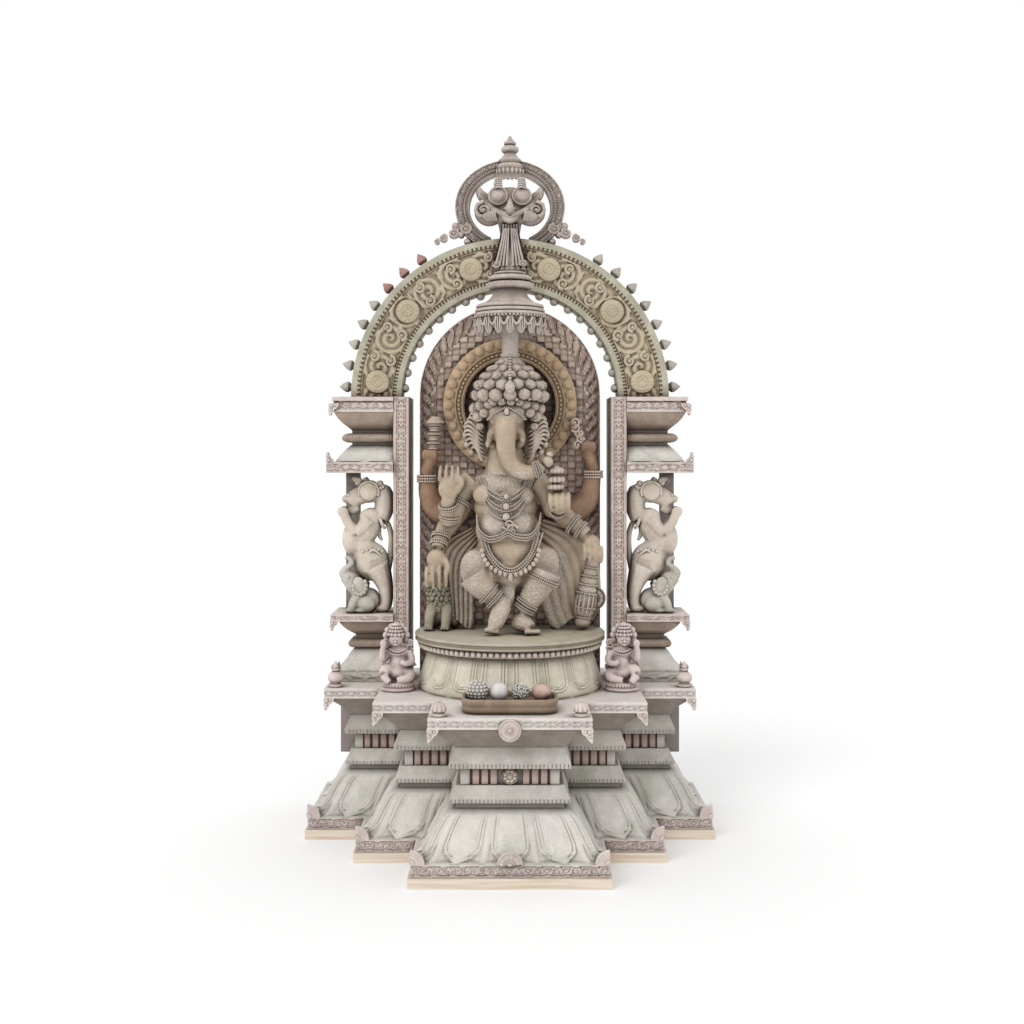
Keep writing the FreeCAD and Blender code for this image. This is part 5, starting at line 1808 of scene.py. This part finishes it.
def build_lion_face():
    """A round-eyed mask with horns, curled cheeks and a pointed mouth."""
    lows, highs = span("lion_mask")
    front = lows[1]
    y0 = (lows[1] + highs[1]) / 2
    bm = bmesh.new()
    ellipsoid(bm, (0, y0 - 10, 2634), (98, 62, 84))
    tube(bm, [(0, y0 - 10, 2560), (0, y0 - 10, 2500)], [54, 44])
    ellipsoid(bm, (0, y0 - 40, 2580), (74, 46, 48))
    for sign in (-1, 1):
        ellipsoid(bm, (sign * 88, y0 - 22, 2600), (64, 54, 66))
        ellipsoid(bm, (sign * 50, front + 36, 2664), (37, 32, 37))
        tube(bm, [(sign * 46, front + 34, 2694), (sign * 52, front + 30, 2724),
                  (sign * 40, front + 34, 2745)], [20, 17, 12])
        tube(bm, [(sign * 92, y0 - 20, 2650), (sign * 124, y0 - 22, 2682), (sign * 132, y0 - 22, 2712)],
             [28, 22, 9])
        tube(bm, [(sign * 6, front + 22, 2574), (sign * 40, front + 22, 2586),
                  (sign * 76, front + 28, 2606)], [13, 14, 12])
    tube(bm, [(0, front + 40, 2656), (0, front + 20, 2630), (0, front + 10, 2602), (0, front + 20, 2588)],
         [12, 14, 20, 14])
    tube(bm, [(-30, front + 26, 2566), (0, front + 14, 2548), (30, front + 26, 2566)], [13, 16, 13])
    clay(bm, 4.0)
    fine = bmesh.new()
    for sign in (-1, 1):
        tube(fine, [(sign * 50 + 37 * math.cos(a), front + 26, 2664 + 37 * math.sin(a))
                    for a in np.linspace(0, 2 * math.pi, 17)], [7] * 17, around=8, steps=1)
        ellipsoid(fine, (sign * 50, front + 16, 2662), (24, 18, 24), detail=3)
        spiral(fine, (sign * 112, front + 26, 2600), 40, 9, turns=1.6, start=90, way=-sign)
        for step in range(6):
            tube(fine, [(sign * (58 + 9 * step), front + 18 + step, 2604 - 4 * step),
                        (sign * (64 + 9 * step), front + 16, 2580 - 3 * step),
                        (sign * (56 + 7 * step), front + 26, 2552)], [5, 6, 4], around=6, steps=3)
            tube(fine, [(sign * (96 + 6 * step), y0 - 50, 2654 + 5 * step),
                        (sign * (104 + 6 * step), y0 - 52, 2640 + 4 * step)],
                 [5, 4], around=6, steps=2)
        for step in range(5):
            tube(fine, [(sign * 34, front + 14 + 2 * step, 2698 + 10 * step),
                        (sign * 50, front + 8 + 2 * step, 2702 + 10 * step),
                        (sign * 64, front + 16 + 2 * step, 2696 + 10 * step)], [5, 6, 4], around=6, steps=2)
        ellipsoid(fine, (sign * 15, front + 16, 2604), (12, 11, 10), detail=2)
        tube(fine, [(0, front + 12, 2562), (sign * 28, front + 14, 2580), (sign * 60, front + 20, 2604)],
             [6, 7, 4], around=8,
             steps=4)
    for step in range(9):
        x = -40 + 10 * step
        tube(fine, [(x, y0 - 62 + 0.02 * x * x, 2548), (x * 0.9, y0 - 54 + 0.02 * x * x, lows[2] + 6)],
             [6, 5], around=6,
             steps=2)
    joined(bm, fine)
    fit_inside(bm, lows, highs, margin=4.0)
    piece(bm, "lion_face", [finish("tongue")], "root", ["lion_mask"])


def build_rear_arms():
    """Two round arms behind the shoulders, each with what its hand holds."""
    lows, highs = span("rear_arms")
    bm = bmesh.new()
    for elbow, wrist, palm in (((-322, 150, 500), (-368, 148, 640), (-350, 150, 706)),
                               ((318, 150, 510), (372, 148, 660), (346, 150, 740))):
        side = 1 if elbow[0] > 0 else -1
        limb(bm, [(side * 160, 160, 560), (side * 240, 158, 480), (elbow[0], 154, elbow[2]),
                  (elbow[0] + side * 34, 150, 560), wrist],
             [50, 52, 50, 44, 32])
        limb(bm, [wrist, palm], [30, 28])
        ball(bm, palm, (34, 24, 34))
        for i in range(4):
            limb(bm, [(palm[0] - 26 + 17 * i, 132, palm[2] + 6), (palm[0] - 24 + 16 * i, 120, palm[2] + 26),
                      (palm[0] - 20 + 14 * i, 126, palm[2] + 44)], [11, 10, 8], steps=3)
    clay(bm, 5.0)
    fine = bmesh.new()
    for spot, radius in (((-366, 148, 628), 38), ((370, 148, 646), 38)):
        bracelet(fine, spot, (0, 0, 1), radius, thick=6, rows=3)
    for step in range(12):
        share = step / 11
        turned(fine, [(0, 0), (20 + 9 * (step % 3 == 0), 0), (24 + 9 * (step % 3 == 0), 5), (20, 12),
                      (0, 12)],
               seat(-338 + 12 * share, 150, 736 + 13 * step), count=20)
    turned(fine, [(0, 0), (38, 0), (42, 8), (34, 14), (34, 20), (16, 24), (0, 26)], seat(-326, 150, 862),
           count=24)
    for step in range(5):
        ellipsoid(fine, seat(300 + 14 * math.sin(step * 1.3), 146, 770 + 24 * step),
                  (26 - 2 * step, 22, 20), turn=(20 * step, "Y"))
        spiral(fine, seat(300 + 14 * math.sin(step * 1.3), 124, 772 + 24 * step), 20, 6, turns=1.3,
               start=70 * step)
    first = len(bm.faces)
    joined(bm, fine)
    bm.faces.ensure_lookup_table()
    for face in bm.faces[first:]:
        face.material_index = 1
    fit_inside(bm, lows, highs, margin=8.0)
    piece(bm, "raised_rear_arms", [finish("rust"), finish("plate")], "root", ["rear_arms"])


def build_mace():
    """A ringed club that stands on the floor, and a wheel beside it."""
    lows, highs = span("mace")
    bm = bmesh.new()
    foot, top = np.array((298.0, 62.0, 6.0)), np.array((344.0, 62.0, 300.0))
    profile = ((0.0, 20), (0.05, 30), (0.1, 32), (0.16, 26), (0.2, 34), (0.3, 40), (0.42, 42), (0.5, 38),
               (0.56, 40), (0.62, 33), (0.68, 35), (0.74, 27), (0.8, 29), (0.86, 21), (0.92, 24),
               (1.0, 17))
    limb(bm, [tuple(foot + (top - foot) * share) for share, _ in profile],
         [radius for _, radius in profile], steps=2)
    for share, radius in profile[3:-1:2]:
        bracelet(bm, tuple(foot + (top - foot) * share), tuple(top - foot), radius + 4, thick=5, rows=1)
    for step in range(14):
        angle = 2 * math.pi * step / 14
        limb(bm, [tuple(foot + (top - foot) * share + np.array((math.cos(angle), math.sin(angle),
                0)) * radius)
                  for share, radius in ((0.2, 34), (0.36, 43), (0.5, 40))], [4, 6, 3], steps=3)
    rosette(bm, seat(350, 62, 131), 50.0, 16.0, flower, petals=10, rings=12, around=44, bottom=-14.0)
    fit_inside(bm, lows, highs, margin=6.0)
    piece(bm, "mace_and_wheel", [lace_stone()], "root", ["mace"])


def build_mount_beast():
    """The mount crouches by the figure's foot, its mane in rows of curls."""
    lows, highs = span("vahana")
    bm = bmesh.new()
    ball(bm, (-282, 92, 66), (66, 66, 58))
    ball(bm, (-288, 62, 112), (54, 46, 62))
    limb(bm, [(-290, 66, 150), (-300, 54, 190), (-306, 44, 206)], [46, 40, 36])
    ball(bm, (-306, 40, 208), (38, 36, 34))
    limb(bm, [(-318, 20, 206), (-340, 4, 196), (-352, -2, 184)], [26, 20, 13])
    for side in (-1, 1):
        limb(bm, [(-292 + 30 * side, 40, 96), (-300 + 34 * side, 14, 54), (-302 + 34 * side, 6, 16)],
             [26, 21, 19])
        ball(bm, (-304 + 34 * side, 0, 12), (20, 26, 13))
        ball(bm, (-276 + 42 * side, 92, 38), (28, 46, 38))
    limb(bm, [(-250, 118, 60), (-226, 120, 120), (-232, 112, 180), (-250, 104, 214)], [20, 18, 15, 9])
    clay(bm, 4.5)
    fine = bmesh.new()
    for row in range(6):
        for step in range(7):
            angle = math.pi * (0.06 + 0.88 * (step + 0.5 * (row % 2)) / 7.5)
            reach = 50 - 4 * abs(row - 2)
            spot = (-294 - 2 * row + reach * math.cos(angle), 60 - 3 * row - (reach - 4) * math.sin(angle),
                    92 + row * 20)
            ball(fine, spot, (9, 8, 12), turn=(25 * (step - 3), "Y"), detail=2)
            if (row + step) % 2 == 0:
                spiral(fine, seat(spot[0], spot[1] - 7, spot[2] - 5), 10, 3.5, turns=1.2, start=50 * step,
                       way=1 if step > 3 else -1)
    for side in (-1, 1):
        ball(fine, (-312 + 15 * side, 12, 218), (7, 6, 7), detail=2)
        ball(fine, (-300 + 27 * side, 44, 236), (13, 8, 15), detail=2)
        for step in range(5):
            spiral(fine, seat(-286 + 50 * side, 60 + 12 * step, 58 + 18 * step), 13, 5, turns=1.3,
                   start=60 * step,
                   plane=((0, 1, 0), (0, 0, 1)))
        for toe in range(3):
            ball(fine, (-304 + 34 * side - 11 + 11 * toe, -24, 9), (7, 10, 8), detail=2)
    joined(bm, fine)
    fit_inside(bm, lows, highs, margin=8.0)
    piece(bm, "small_mount", [finish("green")], "root", ["vahana"])


def build_attendants():
    """Small crowned attendants seated on lotus stools, their hands raised, flame leaves behind them."""
    for side, sign in SIDES:
        lows, highs = span(side + "_attendant")
        x0, y0 = (lows[0] + highs[0]) / 2, (lows[1] + highs[1]) / 2
        base = lows[2]
        bm = bmesh.new()

        def run(spots, radii):
            tube(bm, [(x0 + x * sign, y0 + b, base + u) for x, b, u in spots], radii, around=14, steps=4)

        def lump(x, back, up, radii):
            ellipsoid(bm, (x0 + x * sign, y0 + back, base + up), radii)

        turned(bm, [(0, 0), (70, 0), (72, 5), (68, 12), (60, 18), (64, 26), (60, 34), (0, 36)],
               (x0, y0, base), count=40)
        lump(0, 6, 70, (50, 46, 34))
        run([(16, 4, 78), (46, -22, 84), (54, -44, 70)], [28, 26, 20])
        run([(54, -46, 66), (40, -54, 48), (30, -58, 38)], [18, 14, 12])
        run([(-16, 4, 78), (-46, -18, 66), (-40, -44, 54), (0, -54, 46)], [28, 24, 18, 13])
        lump(-4, 2, 112, (38, 32, 44))
        lump(-2, 0, 152, (44, 28, 26))
        run([(0, 0, 164), (6, -2, 190)], [17, 16])
        lump(8, -6, 204, (28, 28, 30))
        run([(40, 4, 156), (58, -14, 126), (60, -34, 160), (56, -40, 184)], [17, 15, 12, 10])
        run([(-42, 4, 156), (-56, -10, 120), (-34, -40, 112), (-16, -46, 124)], [17, 15, 12, 10])
        lump(56, -42, 194, (14, 9, 17))
        clay(bm, 3.5)
        fine = bmesh.new()
        for step in range(9):
            angle = math.radians(-20 + 27.5 * step)
            ellipsoid(fine, (x0 + 8 * sign + 42 * math.cos(angle), y0 + 20,
                             base + 214 + 44 * math.sin(angle)), (15, 10, 15), detail=2)
        for step in range(4):
            ellipsoid(fine, (x0 + 8 * sign, y0 - 4, base + 226 + 13 * step),
                      (30 - 6 * step, 28 - 6 * step, 10), detail=3)
            for a in range(7):
                angle = math.pi + math.pi * a / 6
                ellipsoid(fine, (x0 + 8 * sign + (30 - 6 * step) * math.cos(angle),
                                 y0 - 4 + (28 - 6 * step) * math.sin(angle),
                                 base + 226 + 13 * step), (6, 6, 7), detail=1)
        for part in (-1, 1):
            ellipsoid(fine, (x0 + 8 * sign + part * 10, y0 - 32, base + 208), (6, 4, 4), detail=2)
            for step in range(4):
                spiral(fine, (x0 + part * (56 - 3 * step), y0 + 10, base + 96 + 32 * step), 15, 6,
                       turns=1.3, start=80 * step, way=part)
        ellipsoid(fine, (x0 + 8 * sign, y0 - 35, base + 200), (5, 6, 9), detail=2)
        tube(fine, [(x0 + 8 * sign - 9, y0 - 31, base + 189), (x0 + 8 * sign, y0 - 34, base + 187),
                    (x0 + 8 * sign + 9, y0 - 31, base + 189)], [3, 4, 3], around=6, steps=2)
        for row in range(2):
            beads(fine, [(x0 + (32 + 5 * row) * math.cos(a), y0 - 8 + 25 * math.sin(a),
                          base + 158 - 11 * row + 9 * math.cos(a) ** 2)
                         for a in np.linspace(math.pi, 2 * math.pi, 15)], 4.5)
        beads(fine, [(x0 + 62 * math.cos(a), y0 + 62 * math.sin(a), base + 22) for a in clock(32)], 7,
              squash=(1, 1, 1.2))
        joined(bm, fine)
        fit_inside(bm, lows, highs, margin=4.0)
        piece(bm, side + "_small_attendant", [finish("pink")], side + "_attendant", [side + "_attendant"])


# ---------------------------------------------------------------- tray and offerings

def build_tray():
    """An oblong tray with rounded corners and a rolled rim."""
    lows, highs = span("offering_tray")
    half_x = (highs[0] - lows[0]) / 2
    half_y = (highs[1] - lows[1]) / 2
    y0 = (lows[1] + highs[1]) / 2
    corner = 60.0
    bm = bmesh.new()
    line = [(16, 0), (6, 1), (2, 5), (0, 16), (3, 24), (3, 30), (0, 36), (-1, 44), (0, 52), (3, 55),
            (9, 55), (13, 52), (14, 46), (14, 34), (18, 32)]
    line = np.array(line, float)

    def where(u, v):
        row = np.rint(v * (len(line) - 1)).astype(int)
        inset, up = line[row, 0], line[row, 1]
        angle = u * 2 * math.pi
        c, s = np.cos(angle), np.sin(angle)
        x = np.where(c < -1e-9, -1, 1) * (half_x - corner) + c * (corner - inset)
        y = np.where(s < -1e-9, -1, 1) * (half_y - corner) + s * (corner - inset)
        return np.stack([x, y0 + y, lows[2] + up], 1) * MM

    made, flat = place_grid(bm, 180, len(line) - 1, where)
    for end in (0.0, 1.0):
        bm.faces.new(edge_row(made, flat, 1, end)[:-1])
    bmesh.ops.remove_doubles(bm, verts=made, dist=1e-6)
    piece(bm, "stone_tray", [finish("tray")], "tray", ["offering_tray"])


def build_offerings():
    """The four fruits and flowers on the tray."""
    def settle(node):
        lows, highs = span(node)
        return (lows + highs) / 2, (highs - lows) / 2, lows, highs

    middle, reach, lows, highs = settle("custard_apple")
    bm = bmesh.new()
    ellipsoid(bm, middle, reach * 0.93, detail=4)
    for ring in range(1, 9):
        tilt = math.pi * ring / 9
        count = max(5, int(17 * math.sin(tilt)))
        for step in range(count):
            a = 2 * math.pi * (step + 0.5 * (ring % 2)) / count
            direction = np.array((math.sin(tilt) * math.cos(a), math.sin(tilt) * math.sin(a), math.cos(tilt)))
            ellipsoid(bm, tuple(middle + direction * reach * 0.9), (7.5, 7.5, 7.5), detail=2)
    fit_inside(bm, lows, highs, margin=2.0)
    piece(bm, "knobbly_custard_apple", [finish("pale")], "custard_apple", ["custard_apple"])

    middle, reach, lows, highs = settle("coconut")
    bm = bmesh.new()
    made = ellipsoid(bm, middle, reach, detail=5)
    for vert in made:
        spot = (vert.co / MM - Vector(middle))
        angle = math.atan2(spot.y, spot.x)
        if spot.xy.length > 4:
            vert.co += Vector((spot.x, spot.y, 0)).normalized() * MM * -0.8 * abs(math.cos(1.5 * angle))
    fit_inside(bm, lows, highs, margin=1.0)
    piece(bm, "smooth_coconut", [finish("grey")], "coconut", ["coconut"])

    middle, reach, lows, highs = settle("flower_heap")
    bm = bmesh.new()
    ellipsoid(bm, middle, reach * 0.8, detail=3)
    pick = random.Random(4)
    for step in range(26):
        share = (step + 0.5) / 26
        tilt = math.acos(1 - 1.6 * share)
        a = step * 2.39996
        direction = np.array((math.sin(tilt) * math.cos(a), math.sin(tilt) * math.sin(a), math.cos(tilt)))
        spot = np.array(middle) + direction * reach * 0.84
        for petal in range(5):
            b = 2 * math.pi * petal / 5 + pick.random()
            first = Vector(direction).orthogonal().normalized()
            second = Vector(direction).cross(first)
            offset = (first * math.cos(b) + second * math.sin(b)) * 6.5
            ellipsoid(bm, tuple(Vector(spot) + offset), (5.2, 5.2, 5.2), detail=1)
    fit_inside(bm, lows, highs, margin=3.0)
    piece(bm, "heap_of_flowers", [finish("pale")], "flower_heap", ["flower_heap"])

    middle, reach, lows, highs = settle("pomegranate")
    bm = bmesh.new()
    ellipsoid(bm, middle, (reach[0], reach[1], reach[2] * 0.97), detail=5)
    for step in range(5):
        a = 2 * math.pi * step / 5
        tube(bm, [(middle[0] + 6 * math.cos(a), middle[1] + 6 * math.sin(a), highs[2] - 8),
                  (middle[0] + 9 * math.cos(a), middle[1] + 9 * math.sin(a), highs[2] + 3)], [4, 2],
                  around=8, steps=2)
    fit_inside(bm, lows, highs, margin=3.0)
    piece(bm, "blush_pomegranate", [finish("apple")], "pomegranate", ["pomegranate"])


# ---------------------------------------------------------------- stage

def build_boards():
    """Give the three sawn boards their wood."""
    for tier in TIERS:
        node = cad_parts[tier + "_plank"]
        for held in node.material_slots:
            held.material = pine()


FLOOR_SIZE = 160.0
SUN_STRENGTH = 0.9
SUN_WIDTH = math.radians(35)
SUN_PLACE = Vector((-3.0, -4.0, 5.0))
SUN_AIM = Vector((0.0, 0.0, 0.6))
EYE = (0.0, -5.19, 1.556)
LENS = 45.2
SENSOR = 36.0
LENS_SHIFT = (0.002, -0.0557)


def build_stage(floor_tone, sky):
    """A wide white floor, an even sky, one soft sun and the camera."""
    mesh = bpy.data.meshes.new("studio_floor")
    bm = bmesh.new()
    place_grid(bm, 8, 8, lambda u, v: np.stack([(u - 0.5) * FLOOR_SIZE, (v - 0.5) * FLOOR_SIZE, 0 * u], 1))
    bmesh.ops.recalc_face_normals(bm, faces=bm.faces[:])
    bm.to_mesh(mesh)
    bm.free()
    floor = bpy.data.objects.new("studio_floor", mesh)
    bpy.context.scene.collection.objects.link(floor)
    paper = bpy.data.materials.new("studio paper")
    paper.use_nodes = True
    shader = paper.node_tree.nodes["Principled BSDF"]
    shader.inputs["Base Color"].default_value = (*floor_tone, 1.0)
    shader.inputs["Roughness"].default_value = 1.0
    shader.inputs["Specular IOR Level"].default_value = 0.0
    mesh.materials.append(paper)

    world = bpy.data.worlds.new("studio")
    world.use_nodes = True
    back = world.node_tree.nodes["Background"]
    back.inputs["Color"].default_value = (1.0, 1.0, 1.0, 1.0)
    back.inputs["Strength"].default_value = sky
    bpy.context.scene.world = world

    lamp = bpy.data.lights.new("soft_sun", "SUN")
    lamp.energy = SUN_STRENGTH
    lamp.angle = SUN_WIDTH
    held = bpy.data.objects.new("soft_sun", lamp)
    held.location = SUN_PLACE
    held.rotation_euler = (SUN_AIM - SUN_PLACE).to_track_quat("-Z", "Y").to_euler()
    bpy.context.scene.collection.objects.link(held)

    eye = bpy.data.cameras.new("camera")
    eye.lens = LENS
    eye.sensor_width = SENSOR
    eye.shift_x, eye.shift_y = LENS_SHIFT
    held = bpy.data.objects.new("camera", eye)
    held.location = EYE
    held.rotation_euler = (math.pi / 2, 0.0, 0.0)
    bpy.context.scene.collection.objects.link(held)
    bpy.context.scene.camera = held
    bpy.context.scene.view_settings.view_transform = "Standard"


# ---------------------------------------------------------------- add-on

class SHRINE_OT_boards(bpy.types.Operator):
    """Give the boards under the base their softwood"""
    bl_idname = "shrine.boards"
    bl_label = "Boards"

    def execute(self, context):
        build_boards()
        return {"FINISHED"}


class SHRINE_OT_base(bpy.types.Operator):
    """Carve the three stages of the base"""
    bl_idname = "shrine.base"
    bl_label = "Stepped base"

    def execute(self, context):
        build_lotus_courses()
        build_dados()
        build_cornices()
        build_decks()
        build_rear_backing()
        build_deck_finials()
        return {"FINISHED"}


class SHRINE_OT_pillars(bpy.types.Operator):
    """Carve both pillars and their ledges"""
    bl_idname = "shrine.pillars"
    bl_label = "Pillars"

    def execute(self, context):
        build_pillars()
        build_pillar_slabs()
        return {"FINISHED"}


class SHRINE_OT_beasts(bpy.types.Operator):
    """Model the rearing beasts and the elephants"""
    bl_idname = "shrine.beasts"
    bl_label = "Pillar beasts"

    def execute(self, context):
        build_yalis()
        build_elephants()
        return {"FINISHED"}


class SHRINE_OT_arch(bpy.types.Operator):
    """Carve the arch and its crest"""
    bl_idname = "shrine.arch"
    bl_label = "Arch and crest"

    def execute(self, context):
        build_arch()
        build_crest()
        return {"FINISHED"}


class SHRINE_OT_back(bpy.types.Operator):
    """Carve the back plate, the halo and the umbrella"""
    bl_idname = "shrine.back"
    bl_label = "Back plate and umbrella"

    def execute(self, context):
        build_back_plate()
        build_umbrella()
        return {"FINISHED"}


class SHRINE_OT_figure(bpy.types.Operator):
    """Model the seated figure with its pedestal, crown, arms, mace and mount"""
    bl_idname = "shrine.figure"
    bl_label = "Seated figure"

    def execute(self, context):
        build_round_pedestal()
        build_figure()
        build_crown()
        build_rear_arms()
        build_mace()
        build_mount_beast()
        return {"FINISHED"}


class SHRINE_OT_attendants(bpy.types.Operator):
    """Model the two small attendants"""
    bl_idname = "shrine.attendants"
    bl_label = "Attendants"

    def execute(self, context):
        build_attendants()
        return {"FINISHED"}


class SHRINE_OT_offerings(bpy.types.Operator):
    """Model the tray and what lies in it"""
    bl_idname = "shrine.offerings"
    bl_label = "Tray and offerings"

    def execute(self, context):
        build_tray()
        build_offerings()
        return {"FINISHED"}


class ShrineStage(bpy.types.PropertyGroup):
    floor_tone: bpy.props.FloatVectorProperty(name="Floor tone", description="Colour of the studio paper",
                                              default=(0.9, 0.9, 0.9), size=3, subtype="COLOR")
    sky: bpy.props.FloatProperty(name="Sky", description="Strength of the even light from all round",
                                 default=1.0, min=0.0, unit="NONE")


class SHRINE_OT_stage(bpy.types.Operator):
    """Set the floor, the lights and the camera"""
    bl_idname = "shrine.stage"
    bl_label = "Stage"

    def execute(self, context):
        chosen = context.scene.shrine_stage
        build_stage(tuple(chosen.floor_tone), chosen.sky)
        return {"FINISHED"}


OPERATORS = (SHRINE_OT_boards, SHRINE_OT_base, SHRINE_OT_pillars, SHRINE_OT_beasts, SHRINE_OT_arch,
             SHRINE_OT_back, SHRINE_OT_figure, SHRINE_OT_attendants, SHRINE_OT_offerings, SHRINE_OT_stage)


class SHRINE_PT_panel(bpy.types.Panel):
    """Lists the steps that build the shrine"""
    bl_idname = "SHRINE_PT_panel"
    bl_label = "Stone shrine"
    bl_space_type = "VIEW_3D"
    bl_region_type = "UI"
    bl_category = "Shrine"

    def draw(self, context):
        for each in OPERATORS:
            self.layout.operator(each.bl_idname)
        self.layout.prop(context.scene.shrine_stage, "floor_tone")
        self.layout.prop(context.scene.shrine_stage, "sky")


CLASSES = (ShrineStage, *OPERATORS, SHRINE_PT_panel)


def register():
    """Add the classes and the stage settings to Blender."""
    for each in CLASSES:
        bpy.utils.register_class(each)
    bpy.types.Scene.shrine_stage = bpy.props.PointerProperty(type=ShrineStage)


def unregister():
    """Take the classes and the stage settings away again."""
    del bpy.types.Scene.shrine_stage
    for each in reversed(CLASSES):
        bpy.utils.unregister_class(each)


def main():
    """Build every piece in order."""
    register()
    for each in OPERATORS:
        group, name = each.bl_idname.split(".")
        done = getattr(getattr(bpy.ops, group), name)()
        if done != {"FINISHED"}:
            raise RuntimeError(each.bl_label + " did not finish")


if __name__ == "__main__":
    main()
